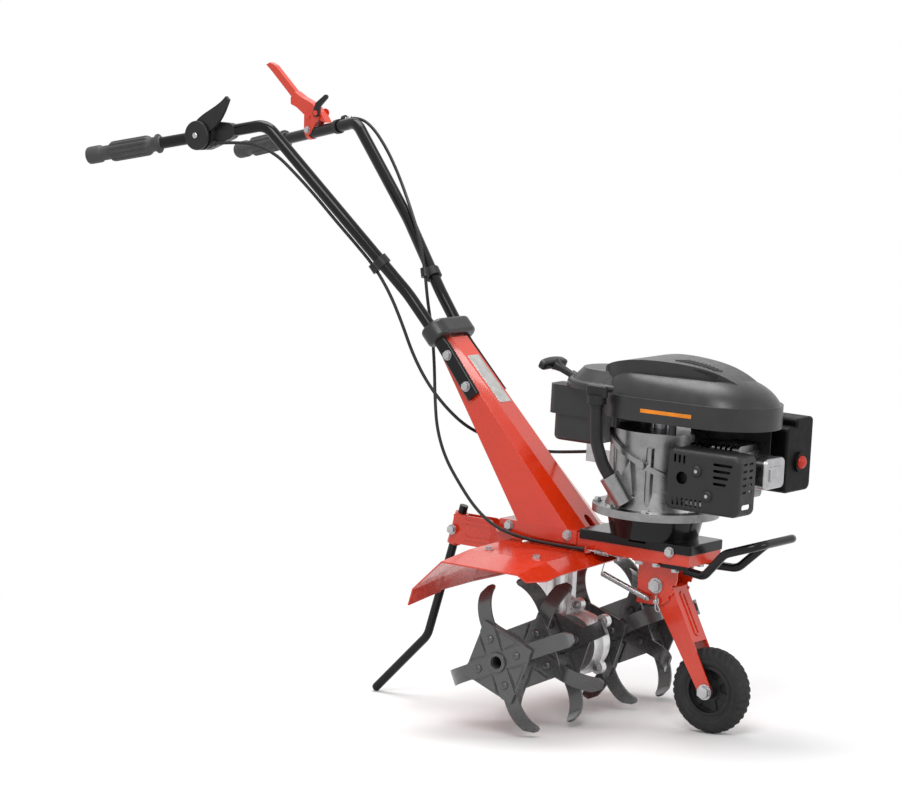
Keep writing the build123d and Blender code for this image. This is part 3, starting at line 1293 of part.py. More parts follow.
# Crankcase: flange, sump, slanted parting flange and the finned cylinder block, in one casting
FIN_GAP = 5.0
FILLER_FOOT = (114, -100, 316)
with BuildPart() as parting_flange:
    rod((CRANK_FORWARD, 0, FLANGE_BOTTOM), (0, 0, 1), CASE_RADIUS + 7, CASE_TOP - FLANGE_BOTTOM)
    with BuildSketch(side_plane(0)):
        Polygon((20, 421), (270, 305), (270, 295), (20, 411))
    extrude(amount=120, both=True, mode=Mode.INTERSECT)
with BuildPart() as crankcase:
    rod((CRANK_FORWARD, 0, FLANGE_BOTTOM), (0, 0, 1), FLANGE_RADIUS, FLANGE_THICK)
    with BuildSketch(level_plane(FLANGE_BOTTOM + FLANGE_THICK)) as sump_foot:
        with Locations((CRANK_FORWARD, 0)):
            Circle(FLANGE_RADIUS - 22)
    with BuildSketch(level_plane(302)) as sump_head:
        with Locations((CRANK_FORWARD, 0)):
            Circle(CASE_RADIUS)
    loft()
    rod((CRANK_FORWARD, 0, 302), (0, 0, 1), CASE_RADIUS, CASE_TOP - 302)
    add(parting_flange.part)
    with BuildSketch(cross_plane(CRANK_FORWARD)):
        with Locations((CYLINDER_LEFT, 350)):
            RectangleRounded(2 * HEAD_HALF - 4, 86, 10)
    extrude(amount=HEAD_REAR - CRANK_FORWARD)
    for fin in range(4):
        with BuildSketch(cross_plane(HEAD_REAR - 8 - fin * 2 * FIN_GAP)) as fin_gap:
            with Locations((CYLINDER_LEFT, 350)):
                Rectangle(2 * HEAD_HALF + 20, 120)
                RectangleRounded(2 * HEAD_HALF - 30, 62, 8, mode=Mode.SUBTRACT)
        extrude(fin_gap.sketch, amount=-FIN_GAP, mode=Mode.SUBTRACT)
    socket_way = Vector(17, 9, -29).normalized()
    socket_rim = place_of(Vector(*FILLER_FOOT) - socket_way * SOCKET_DEPTH)
    rod(socket_rim, place_of(socket_way), FILLER_RADIUS + 7, 42 + SOCKET_DEPTH)
    with BuildSketch(side_plane(-78)) as web:
        Polygon((106.8, 293.3), (149.6, 295.6), (141.2, 355.9))
    extrude(web.sketch, amount=13)
    rod((163.5, -70, 350), (0, -1, 0), 8, 25)
    for rib_turn in (200, 230, 290, 320):
        rib_forward = CRANK_FORWARD + (CASE_RADIUS - 1) * cos(radians(rib_turn))
        rib_left = (CASE_RADIUS - 1) * sin(radians(rib_turn))
        rod((rib_forward, rib_left, FLANGE_BOTTOM + 5), (0, 0, 1), 7, 120)
    rod((CRANK_FORWARD, 0, 200), (0, 0, 1), CRANK_RADIUS + RUNNING_FIT, 260, Mode.SUBTRACT)
    rod(socket_rim, place_of(socket_way), FILLER_RADIUS + 0.4, SOCKET_DEPTH, Mode.SUBTRACT)
    for bolt_turn in FLANGE_BOLT_TURNS:
        rod((*flange_bolt(bolt_turn), 240), (0, 0, 1), 3.5, 60, Mode.SUBTRACT)
crankcase.part.label = "crankcase"
export_step(crankcase.part, "parts/crankcase.step")

with BuildPart() as crankshaft:
    rod((CRANK_FORWARD, 0, BELT_BOTTOM - 4), (0, 0, 1), CRANK_RADIUS, 440 - BELT_BOTTOM + 4)
    chamfer(crankshaft.edges().filter_by(GeomType.CIRCLE), 1.5)
crankshaft.part.label = "crankshaft"
export_step(crankshaft.part, "parts/crankshaft.step")

# Cylinder head with fins, and the valve cover in front of it
with BuildPart() as cylinder_head:
    with BuildSketch(cross_plane(HEAD_REAR)):
        with Locations((CYLINDER_LEFT, 350)):
            RectangleRounded(2 * HEAD_HALF, 94, 8)
    extrude(amount=HEAD_FRONT - HEAD_REAR)
    for fin in range(4):
        with BuildSketch(cross_plane(HEAD_REAR + 6 + fin * 2 * FIN_GAP)):
            with Locations((CYLINDER_LEFT, 350)):
                Rectangle(2 * HEAD_HALF + 20, 120)
                RectangleRounded(2 * HEAD_HALF - 16, 66, 8, mode=Mode.SUBTRACT)
                with Locations((-HEAD_HALF + 10, 0), (HEAD_HALF - 10, 0)):
                    RectangleRounded(24, 40, 6, mode=Mode.SUBTRACT)
        extrude(amount=FIN_GAP, mode=Mode.SUBTRACT)
cylinder_head.part.label = "cylinder_head"
export_step(cylinder_head.part, "parts/cylinder_head.step")

COVER_LEFT = 15.0
COVER_UP = 352.0
with BuildPart() as valve_cover:
    with BuildSketch(cross_plane(HEAD_FRONT)):
        with Locations((COVER_LEFT, COVER_UP)):
            RectangleRounded(84, 66, 10)
    extrude(amount=4)
    with BuildSketch(cross_plane(HEAD_FRONT)):
        with Locations((COVER_LEFT, COVER_UP)):
            RectangleRounded(70, 54, 10)
    extrude(amount=COVER_FRONT - 2 - HEAD_FRONT)
    fillet(valve_cover.faces().sort_by(FORWARD_AXIS)[-1].edges(), 6)
    with BuildSketch(cross_plane(COVER_FRONT - 4)):
        with Locations((COVER_LEFT, COVER_UP)):
            RectangleRounded(42, 26, 5)
    extrude(amount=4)
valve_cover.part.label = "valve_cover"
export_step(valve_cover.part, "parts/valve_cover.step")

# Muffler on the exhaust side, and its slotted guard
with BuildPart() as muffler:
    with BuildSketch(side_plane(-60)):
        with Locations((301, 342)):
            RectangleRounded(122, 78, 14)
    extrude(amount=MUFFLER_FACE - 60)
    fillet(muffler.faces().sort_by(Axis.Y)[0].edges(), 8)
    with BuildSketch(side_plane(-62)):
        with Locations((301, 342)):
            RectangleRounded(112, 68, 10)
    extrude(amount=MUFFLER_FACE - 66, mode=Mode.SUBTRACT)
    port_face = CYLINDER_LEFT - HEAD_HALF
    rod((296, -62, 350), (0, 1, 0), 15, 62 + port_face)
    rod((296, -64, 350), (0, 1, 0), 12, 80, Mode.SUBTRACT)
muffler.part.label = "muffler"
export_step(muffler.part, "parts/muffler.step")

GUARD_REAR = 230.0
GUARD_FRONT = 374.0
GUARD_LOW = 287.0
GUARD_HIGH = 393.0
GUARD_BACK = 62.0
GUARD_WALL = 2.5
GUARD_SCREWS = ((291, 359), (314, 319))
guard_middle = ((GUARD_REAR + GUARD_FRONT) / 2, (GUARD_LOW + GUARD_HIGH) / 2)
guard_long = GUARD_FRONT - GUARD_REAR
guard_tall = GUARD_HIGH - GUARD_LOW
with BuildPart() as guard_inside:
    with BuildSketch(side_plane(-GUARD_BACK)):
        with Locations(guard_middle):
            RectangleRounded(guard_long - 2 * GUARD_WALL, guard_tall - 2 * GUARD_WALL, 11.5)
    extrude(amount=GUARD_FACE - GUARD_BACK - GUARD_WALL)
    fillet(guard_inside.faces().sort_by(Axis.Y)[0].edges(), 7.5)
with BuildPart() as muffler_guard:
    with BuildSketch(side_plane(-GUARD_BACK)):
        with Locations(guard_middle):
            RectangleRounded(guard_long, guard_tall, 14)
    extrude(amount=GUARD_FACE - GUARD_BACK)
    fillet(muffler_guard.faces().sort_by(Axis.Y)[0].edges(), 10)
    add(guard_inside.part, mode=Mode.SUBTRACT)
    for screw_forward, screw_up in GUARD_SCREWS:
        rod((screw_forward, -MUFFLER_FACE, screw_up), (0, -1, 0), 8, GUARD_FACE - MUFFLER_FACE - 1)
        rod((screw_forward, -MUFFLER_FACE, screw_up), (0, -1, 0), 3, 40, Mode.SUBTRACT)
    with BuildSketch(side_plane(-GUARD_FACE + GUARD_WALL + 2)):
        with Locations((262, 344)):
            Circle(11)
        for slot in range(3):
            with Locations((247 + slot * 9, 377 - slot * 0.5)):
                SlotOverall(15, 4.5, rotation=90)
        for slot in range(4):
            with Locations((341 - slot * 1.5, 375 - slot * 11)):
                SlotOverall(38 - slot * 4, 5)
        for slot in range(7):
            with Locations((247 + slot * 9, 303)):
                SlotOverall(14, 4.5, rotation=90)
    extrude(amount=GUARD_WALL + 4, mode=Mode.SUBTRACT)
    with BuildSketch(cross_plane(GUARD_FRONT - GUARD_WALL - 2)):
        for slot_left in (-98, -78):
            for slot in range(5):
                with Locations((slot_left, 379 - slot * 12)):
                    SlotOverall(13, 4.5)
        with Locations((-88, 305)):
            SlotOverall(30, 9)
    extrude(amount=GUARD_WALL + 4, mode=Mode.SUBTRACT)
muffler_guard.part.label = "muffler_guard"
export_step(muffler_guard.part, "parts/muffler_guard.step")

# Blower housing: hood over the engine with a rear lobe over the tank and a raised top
LOBE_FORWARD = 50.0
LOBE_RADIUS = 88.0
LOBE_BOTTOM = 466.0
ROPE_EXIT = (-38, 0, 474)
ROPE_WAY = (-0.92, 0, 0.39)
ROPE_RADIUS = 2.2


def hood_outline(up, rear_forward, rear_radius, nose_forward, nose_radius):
    """Outline of the hood at one height: two round ends joined by their tangents."""
    with BuildSketch(level_plane(up)) as outline:
        with Locations((rear_forward, 0)):
            Circle(rear_radius)
        with Locations((nose_forward, 0)):
            Circle(nose_radius)
        make_hull()
    return outline.sketch


def hood_form(inset):
    """Outer form of the hood, drawn in by the wall for its inside and open below."""
    rear = HOOD_REAR_RADIUS - inset
    nose = HOOD_NOSE_RADIUS - inset
    with BuildPart() as band:
        outline = hood_outline(HOOD_BOTTOM - inset, CRANK_FORWARD, rear, HOOD_NOSE_FORWARD, nose)
        extrude(outline, amount=DOME_FOOT - HOOD_BOTTOM)
    with BuildPart() as dome:
        sections = [
            hood_outline(DOME_FOOT - 1 - inset, CRANK_FORWARD, rear - 4, HOOD_NOSE_FORWARD, nose - 4),
            hood_outline(488 - inset, CRANK_FORWARD - 2, rear - 13, HOOD_NOSE_FORWARD - 6, nose - 16),
            hood_outline(DOME_TOP - inset, CRANK_FORWARD - 10, rear - 30, HOOD_NOSE_FORWARD - 19, nose - 40),
        ]
        loft(sections)
    lobe_run = CRANK_FORWARD - LOBE_FORWARD
    lobe_middle = ((LOBE_FORWARD + CRANK_FORWARD) / 2, 0)
    with BuildPart() as lobe:
        with BuildSketch(level_plane(LOBE_BOTTOM + inset)):
            with Locations(lobe_middle):
                SlotCenterToCenter(lobe_run, 2 * (LOBE_RADIUS - inset))
        extrude(amount=HOOD_TOP - LOBE_BOTTOM - 2 * inset)
        fillet(lobe.faces().sort_by(UP_AXIS)[-1].edges(), 8 - inset)
    with BuildPart() as shoulder:
        with BuildSketch(level_plane(HOOD_TOP - 2 - inset)):
            with Locations(lobe_middle):
                SlotCenterToCenter(lobe_run, 2 * (LOBE_RADIUS - 8 - inset))
        with BuildSketch(level_plane(HOOD_TOP + 20 - inset)):
            with Locations(lobe_middle):
                SlotCenterToCenter(lobe_run, 2 * (LOBE_RADIUS - 28 - inset))
        loft(ruled=True)
    with BuildPart() as crown:
        with BuildSketch(level_plane(HOOD_TOP - 10 - inset)):
            with Locations((112, 0)):
                Circle(74 - inset)
            with Locations((298, 0)):
                Circle(36 - inset)
            make_hull()
        extrude(amount=90)
        with BuildSketch(side_plane(0)):
            with BuildLine():
                Spline(
                    (30, 494 - inset),
                    (94, 523 - inset),
                    (195, 530 - inset),
                    (270, 520 - inset),
                    (345, 482 - inset),
                )
                Polyline((345, 482 - inset), (345, 440), (30, 440), (30, 494 - inset))
            make_face()
        extrude(amount=100, both=True, mode=Mode.INTERSECT)
    return band.part, dome.part, lobe.part, shoulder.part, crown.part


hood_outside = hood_form(0)
hood_inside = hood_form(HOOD_WALL)
with BuildPart() as blower_housing:
    for body in hood_outside:
        add(body)
    for body in hood_inside:
        add(body, mode=Mode.SUBTRACT)
    for post_forward, post_top in ((87, 518.5), (203, DOME_TOP - 1.5)):
        for post_left in (-58, 58):
            rod((post_forward, post_left, CASE_TOP), (0, 0, 1), 7, post_top - CASE_TOP)
    rod((ROPE_EXIT[0] + 7.4, 0, ROPE_EXIT[2] - 3.1), ROPE_WAY, 9, 16)
    rod((80, 0, 424), ROPE_WAY, ROPE_RADIUS + 1.2, 160, Mode.SUBTRACT)
    with BuildSketch(level_plane(HOOD_TOP + 18)):
        for slot in range(8):
            with Locations((196 + slot * 9, -16 - slot * 0.6)):
                SlotOverall(30 - slot * 1.5, 4, rotation=62)
    extrude(amount=60, mode=Mode.SUBTRACT)
blower_housing.part.label = "blower_housing"
export_step(blower_housing.part, "parts/blower_housing.step")

# Recoil handle: T bar on its stem, with the rope that runs into the hood
with BuildPart() as recoil_handle:
    rope_direction = Vector(*ROPE_WAY).normalized()
    bar_place = Vector(*ROPE_EXIT) + rope_direction * 52
    rope_start = Vector(*ROPE_EXIT) - rope_direction * 108
    rod((bar_place.X, -40, bar_place.Z), (0, 1, 0), 9, 80)
    fillet(recoil_handle.edges().filter_by(GeomType.CIRCLE), 6)
    stem_start = Vector(*ROPE_EXIT) + rope_direction * 8.3
    rod((stem_start.X, 0, stem_start.Z), ROPE_WAY, 6, 40)
    rod((rope_start.X, 0, rope_start.Z), ROPE_WAY, ROPE_RADIUS, 130)
recoil_handle.part.label = "recoil_handle"
export_step(recoil_handle.part, "parts/recoil_handle.step")

# Fuel tank behind the hood, and its cap
TANK_REAR = -56.0
TANK_RIGHT = -60.0
TANK_LEFT = 106.0
with BuildPart() as fuel_tank:
    for low, high, inset in ((366, 415, 7), (414, LOBE_BOTTOM - 0.4, 0)):
        with BuildSketch(level_plane(low)):
            with Locations(((TANK_REAR + 70) / 2, (TANK_RIGHT + TANK_LEFT) / 2)):
                RectangleRounded(70 - TANK_REAR - 2 * inset, TANK_LEFT - TANK_RIGHT - 2 * inset, 18)
        extrude(amount=high - low)
    fillet(fuel_tank.faces().sort_by(UP_AXIS)[0].edges(), 9)
    rod((CRANK_FORWARD, 0, 360), (0, 0, 1), HOOD_REAR_RADIUS + 0.4, 120, Mode.SUBTRACT)
    rod((80, 0, 424), ROPE_WAY, 7, 160, Mode.SUBTRACT)
    with BuildSketch(level_plane(440)):
        with Locations((10, 0)):
            Rectangle(140, 20)
    extrude(amount=40, mode=Mode.SUBTRACT)
    rod((-30, 84, 460), (0, 0, 1), 15, 12)
fuel_tank.part.label = "fuel_tank"
export_step(fuel_tank.part, "parts/fuel_tank.step")

CAP_SPOT = (-30, 84, 472.4)
with BuildPart() as fuel_cap:
    rod(CAP_SPOT, (0, 0, 1), 21, 14)
    fillet(fuel_cap.faces().sort_by(UP_AXIS)[-1].edges(), 3)
fuel_cap.part.label = "fuel_cap"
export_step(fuel_cap.part, "parts/fuel_cap.step")

# Oil filler tube from its socket on the crankcase, with the winged cap
FILLER_ROUTE = [(79, -112, 448), (83, -112, 384), (97, -109, 345), FILLER_FOOT]
with BuildPart() as oil_filler_tube:
    tube(FILLER_ROUTE, [90, 90], FILLER_RADIUS, FILLER_RADIUS - 2)
    rod((79, -112, 444), (0, 0, 1), 13, 5)
    rod((79, -112, 430), (0, 0, 1), 8, 30, Mode.SUBTRACT)
oil_filler_tube.part.label = "oil_filler_tube"
export_step(oil_filler_tube.part, "parts/oil_filler_tube.step")

with BuildPart() as oil_cap:
    rod((79, -112, 449.4), (0, 0, 1), 17, 14)
    with BuildSketch(level_plane(462)):
        with Locations((79, -112)):
            SlotOverall(42, 12)
    extrude(amount=19)
    fillet(oil_cap.faces().sort_by(UP_AXIS)[-1].edges(), 3)
    rod((79, -112, 450), (0, 0, -1), 7.6, 10)
oil_cap.part.label = "oil_cap"
export_step(oil_cap.part, "parts/oil_cap.step")

# Carburettor and air filter box on the intake side, with the primer bulb
FILTER_RIGHT = 76.0
FILTER_LEFT = 168.0
FILTER_REAR = 288.0
FILTER_FRONT = 356.0
PRIMER_SPOT = (FILTER_FRONT, 122, 361)
PRIMER_RADIUS = 12.0
with BuildPart() as carburettor:
    intake_face = CYLINDER_LEFT + HEAD_HALF
    with BuildSketch(side_plane(intake_face)):
        with Locations((297, 350)):
            RectangleRounded(40, 46, 6)
    extrude(amount=-4)
    with BuildSketch(side_plane(intake_face)):
        with Locations((297, 350)):
            RectangleRounded(30, 36, 4)
    extrude(amount=-(FILTER_RIGHT - intake_face))
    rod((297, (intake_face + FILTER_RIGHT) / 2, 336), (0, 0, -1), 9.2, 26)
carburettor.part.label = "carburettor"
export_step(carburettor.part, "parts/carburettor.step")

with BuildPart() as air_filter_box:
    with BuildSketch(cross_plane(FILTER_REAR)):
        with Locations(((FILTER_RIGHT + FILTER_LEFT) / 2, 366)):
            RectangleRounded(FILTER_LEFT - FILTER_RIGHT, 116, 12)
        with Locations(((108 + FILTER_LEFT) / 2, 424)):
            RectangleRounded(FILTER_LEFT - 108, 28, 8)
    extrude(amount=FILTER_FRONT - FILTER_REAR)
    fillet(air_filter_box.faces().sort_by(FORWARD_AXIS)[-1].edges(), 5)
    rod(PRIMER_SPOT, (1, 0, 0), PRIMER_RADIUS + 6, 5)
    bulb_seat = (FILTER_FRONT - 12, 122, 361)
    rod(bulb_seat, (1, 0, 0), PRIMER_RADIUS + 0.3, 30, Mode.SUBTRACT)
air_filter_box.part.label = "air_filter_box"
export_step(air_filter_box.part, "parts/air_filter_box.step")

with BuildPart() as primer_bulb:
    rod((FILTER_FRONT - 5, 122, 361), (1, 0, 0), PRIMER_RADIUS, 18)
    fillet(primer_bulb.faces().sort_by(FORWARD_AXIS)[-1].edges(), 9)
primer_bulb.part.label = "primer_bulb"
export_step(primer_bulb.part, "parts/primer_bulb.step")

# Control bracket behind the engine, where the throttle cable ends
with BuildPart() as control_bracket:
    with BuildSketch(side_plane(33)):
        Polygon((-24, 322), (-24, 360), (-8, 360), (10, 346), (68.4, 346), (68.4, 326), (10, 322))
    extrude(amount=3)
    with BuildSketch(cross_plane(-24)):
        with Locations((37, 338)):
            Rectangle(14, 20)
    extrude(amount=3)
control_bracket.part.label = "control_bracket"
export_step(control_bracket.part, "parts/control_bracket.step")

# Leg spring: one wire wound around its axis, from the guard's flap to the bracket's pin
SPRING_REAR = Vector(60, -26, 136.6)
SPRING_FRONT = Vector(160, -37, 109)
SPRING_TURNS = 18
SPRING_RADIUS = 4.0
SPRING_WIRE = 1.25
spring_run = SPRING_FRONT - SPRING_REAR
spring_axis = spring_run.normalized()
spring_up = (Vector(0, 0, 1) - spring_axis * spring_axis.Z).normalized()
spring_side = spring_up.cross(spring_axis)
SPRING_PITCH = spring_run.length / SPRING_TURNS


def coil_point(turns):
    """Place and direction of the spring's wire after a number of turns."""
    turn = 2 * pi * turns + pi
    place = SPRING_REAR + spring_axis * (SPRING_PITCH * turns)
    place = place + spring_side * (SPRING_RADIUS * cos(turn)) + spring_up * (SPRING_RADIUS * sin(turn))
    around = spring_up * cos(turn) - spring_side * sin(turn)
    way = around * (2 * pi * SPRING_RADIUS) + spring_axis * SPRING_PITCH
    return place, way.normalized()


def biarc_joint(start, start_way, end, end_way):
    """Place where two tangent arcs between two places with given directions meet."""
    gap = end - start
    both = start_way + end_way
    spread = 2 * (1 - start_way.dot(end_way))
    reach = (sqrt(gap.dot(both) ** 2 + spread * gap.dot(gap)) - gap.dot(both)) / spread
    return (start + end + (start_way - end_way) * reach) * 0.5


with BuildPart() as wheel_leg_spring:
    with BuildLine() as coil_line:
        first, first_way = coil_point(0)
        tail = first - first_way * 23.1
        Line(spot(*tail), spot(*first))
        for half in range(2 * SPRING_TURNS):
            near, near_way = coil_point(half / 2)
            far, far_way = coil_point(half / 2 + 0.5)
            joint = biarc_joint(near, near_way, far, far_way)
            arc = TangentArc(spot(*near), spot(*joint), tangent=heading(*near_way))
            TangentArc(spot(*joint), spot(*far), tangent=arc % 1)
    with BuildSketch(Plane(origin=coil_line.line @ 0, z_dir=coil_line.line % 0)):
        Circle(SPRING_WIRE)
    sweep(path=coil_line.line)
wheel_leg_spring.part.label = "wheel_leg_spring"
export_step(wheel_leg_spring.part, "parts/wheel_leg_spring.step")
coil_length = sum(edge.length for edge in coil_line.line.edges())
spring_share = wheel_leg_spring.part.volume / (pi * SPRING_WIRE**2 * coil_length)
print("spring volume ratio", round(spring_share, 3))
print("spring gap", round(SPRING_PITCH - 2 * SPRING_WIRE, 2))

# Frame bolts: all bolts, screws and pins that stay with the frame
SPRING_PIN_FORWARD = 164.7
with BuildPart() as frame_bolts:
    for side in (-1, 1):
        for bolt_forward in (SIDE_BOLT_REAR, SIDE_BOLT_FRONT):
            bolt((bolt_forward, side * COLUMN_FOOT_HALF, SIDE_BOLT_UP), (0, side, 0), 8, 2 * SHEET + 2)
        bolt((DECK_BOLT, side * (CHASSIS_HALF + 3.5), SIDE_BOLT_UP), (0, side, 0), 8, 8)
        for bolt_share in HANDLE_BOLTS:
            place, outward = handle_bolt(bolt_share, side)
            bolt(place, outward, 8, 16)
        for bolt_forward in GUARD_BOLTS:
            wing_fall = GUARD_FOLD_FALL / GUARD_FOLD_LEFT
            wing_up = GUARD_CENTRE_UP - wing_fall * GUARD_BOLT_LEFT
            wing_seat = (bolt_forward, side * GUARD_BOLT_LEFT, wing_up)
            bolt(wing_seat, (0, side * wing_fall, 1), 7, 4)
        for bolt_forward in (BRACKET_BOLT_REAR, BRACKET_BOLT_FRONT):
            bolt((bolt_forward, side * 43, CHASSIS_BOTTOM - SHEET), (0, 0, -1), 8, 2 * SHEET + 1)
        bolt((BUMPER_BOLT, side * 43, CHASSIS_BOTTOM - 7), (0, 0, -1), 8, 11)
    bolt((LEG_PIVOT_FORWARD, -BRACKET_HALF, LEG_PIVOT_UP), (0, -1, 0), 12, 2 * BRACKET_HALF)
    bolt((LEG_PIVOT_FORWARD, BRACKET_HALF, LEG_PIVOT_UP), (0, 1, 0), 12, 2)
    rod((SPRING_PIN_FORWARD, -BRACKET_HALF, 109), (0, -1, 0), 3, 15)
    bolt((bar_forward(168), -19, 168), (0, -1, 0), 8, 8)
    bolt(band_bolt_seat, (0, -1, 0), 6, 2.4)
    for lug_forward, lug_up in ((52, 46), (47, -38), (-4, 68)):
        bolt((lug_forward, -7, lug_up), (0, -1, 0), 6, 14)
    for bolt_turn in FLANGE_BOLT_TURNS:
        bolt((*flange_bolt(bolt_turn), FLANGE_BOTTOM + FLANGE_THICK), (0, 0, 1), 7, FLANGE_THICK)
    for screw_forward, screw_up in GUARD_SCREWS:
        bolt((screw_forward, -GUARD_FACE, screw_up), (0, -1, 0), 5, GUARD_FACE - MUFFLER_FACE)
frame_bolts.part.label = "frame_bolts"
export_step(frame_bolts.part, "parts/frame_bolts.step")
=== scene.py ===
# %% [markdown]
# A garden tiller for a studio picture.  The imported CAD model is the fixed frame: every sheet,
# tube and casting already has its true size and place.  This lesson gives those solids their
# paint, plastic and metal, and adds the small things that CAD leaves out: cables that hang,
# bolts on the tines, spring clips and the tread of the tyre.

import bmesh
import bpy
import numpy as np
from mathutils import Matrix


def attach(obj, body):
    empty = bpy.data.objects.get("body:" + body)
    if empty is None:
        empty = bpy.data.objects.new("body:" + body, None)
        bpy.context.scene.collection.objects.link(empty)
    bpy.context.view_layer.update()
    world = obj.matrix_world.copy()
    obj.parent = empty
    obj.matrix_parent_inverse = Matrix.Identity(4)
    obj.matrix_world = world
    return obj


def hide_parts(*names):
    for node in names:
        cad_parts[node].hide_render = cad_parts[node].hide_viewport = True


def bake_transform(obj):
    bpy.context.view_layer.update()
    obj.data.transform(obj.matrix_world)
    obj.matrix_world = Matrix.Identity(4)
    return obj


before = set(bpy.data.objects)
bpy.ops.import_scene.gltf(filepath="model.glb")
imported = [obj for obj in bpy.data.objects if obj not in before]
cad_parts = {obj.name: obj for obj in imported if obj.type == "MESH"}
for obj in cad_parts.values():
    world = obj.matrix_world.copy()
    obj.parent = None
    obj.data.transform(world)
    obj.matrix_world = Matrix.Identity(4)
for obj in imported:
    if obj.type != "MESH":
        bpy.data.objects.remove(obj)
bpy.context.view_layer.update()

# %% [markdown]
# The machine stands nose down on its front wheel and the tip of its depth bar, so all its
# measurements are easier to give from the tine axle, along the tilted chassis.  One small
# function turns those millimetres into metres in the shared frame.

# %% Places on the chassis
STANCE = np.radians(3.7)
AXLE_AHEAD = 0.26365
WHEEL_RADIUS, WHEEL_AHEAD, WHEEL_BELOW = 0.0757, 0.2805, 0.0407
AXLE_HEIGHT = WHEEL_RADIUS + WHEEL_AHEAD * np.sin(STANCE) + WHEEL_BELOW * np.cos(STANCE)


def spot(chassis_mm):
    """Places in the shared frame: chassis places turned nose down about the axle, then lifted."""
    p = np.asarray(chassis_mm, float) / 1000
    forward = p[..., 0] * np.cos(STANCE) + p[..., 2] * np.sin(STANCE) + AXLE_AHEAD
    up = p[..., 2] * np.cos(STANCE) - p[..., 0] * np.sin(STANCE) + AXLE_HEIGHT
    return np.stack([forward, p[..., 1], up], axis=-1)


print("tine axle at", spot((0, 0, 0)).round(4))

# %% [markdown]
# Every finish starts from the same shader with a few fixed numbers on its sockets.  What makes
# it look real is a fine pattern on Object coordinates that changes roughness, tints the colour
# a little and pushes the surface in and out.


# %% A plain finish and its grain
def plain_finish(name, colour, metal, roughness, coat=0.0, mirror=0.5):
    """Material with the Principled shader's constants set on its own sockets."""
    material = bpy.data.materials.new(name)
    material.use_nodes = True
    shader = material.node_tree.nodes["Principled BSDF"]
    shader.inputs["Base Color"].default_value = (*colour, 1)
    shader.inputs["Metallic"].default_value = metal
    shader.inputs["Roughness"].default_value = roughness
    shader.inputs["Coat Weight"].default_value = coat
    shader.inputs["Coat Roughness"].default_value = 0.08
    shader.inputs["Specular IOR Level"].default_value = mirror
    return material


def noise_on(material, size, detail=3.0):
    """Noise on Object coordinates whose patches are about the given size in metres."""
    nodes, links = material.node_tree.nodes, material.node_tree.links
    place = nodes.new("ShaderNodeTexCoord")
    noise = nodes.new("ShaderNodeTexNoise")
    noise.inputs["Scale"].default_value = 1 / size
    noise.inputs["Detail"].default_value = detail
    links.new(place.outputs["Object"], noise.inputs["Vector"])
    return noise.outputs["Fac"]


# Noise seldom leaves this range, so the two ends of a mixture lie here
NOISE_LOW, NOISE_HIGH = 0.3, 0.7


def vary_roughness(material, pattern, low, high):
    """Roughness between low and high, following a pattern."""
    nodes, links = material.node_tree.nodes, material.node_tree.links
    span = nodes.new("ShaderNodeMapRange")
    span.inputs["From Min"].default_value = NOISE_LOW
    span.inputs["From Max"].default_value = NOISE_HIGH
    span.inputs["To Min"].default_value = low
    span.inputs["To Max"].default_value = high
    links.new(pattern, span.inputs["Value"])
    links.new(span.outputs["Result"], nodes["Principled BSDF"].inputs["Roughness"])


def vary_colour(material, pattern, dark, light):
    """Base colour between two near tones, following a pattern."""
    nodes, links = material.node_tree.nodes, material.node_tree.links
    ramp = nodes.new("ShaderNodeValToRGB")
    ramp.color_ramp.elements[0].position = NOISE_LOW
    ramp.color_ramp.elements[0].color = (*dark, 1)
    ramp.color_ramp.elements[1].position = NOISE_HIGH
    ramp.color_ramp.elements[1].color = (*light, 1)
    links.new(pattern, ramp.inputs["Fac"])
    links.new(ramp.outputs["Color"], nodes["Principled BSDF"].inputs["Base Color"])


def push_surface(material, pattern, depth, strength):
    """Bump of a given depth in metres, following a pattern."""
    nodes, links = material.node_tree.nodes, material.node_tree.links
    bump = nodes.new("ShaderNodeBump")
    bump.inputs["Distance"].default_value = depth
    bump.inputs["Strength"].default_value = strength
    links.new(pattern, bump.inputs["Height"])
    links.new(bump.outputs["Normal"], nodes["Principled BSDF"].inputs["Normal"])


# %% [markdown]
# Real edges are never sharp.  A Bevel node rounds them for the light alone, and the angle between
# the rounded and the flat normal finds them again, so that a lighter colour can be laid there:
# partly paint rubbed thin, partly a painted highlight along the edge.  Real bevels on every solid
# would add many faces for the same glint.

# %% Rounded edges, rubbed and with a painted highlight
# Cosine of the angle between the two normals where an edge starts and where its lighter colour,
# rubbed paint and painted highlight, is full
EDGE_STARTS, EDGE_FULL = 0.97, 0.80


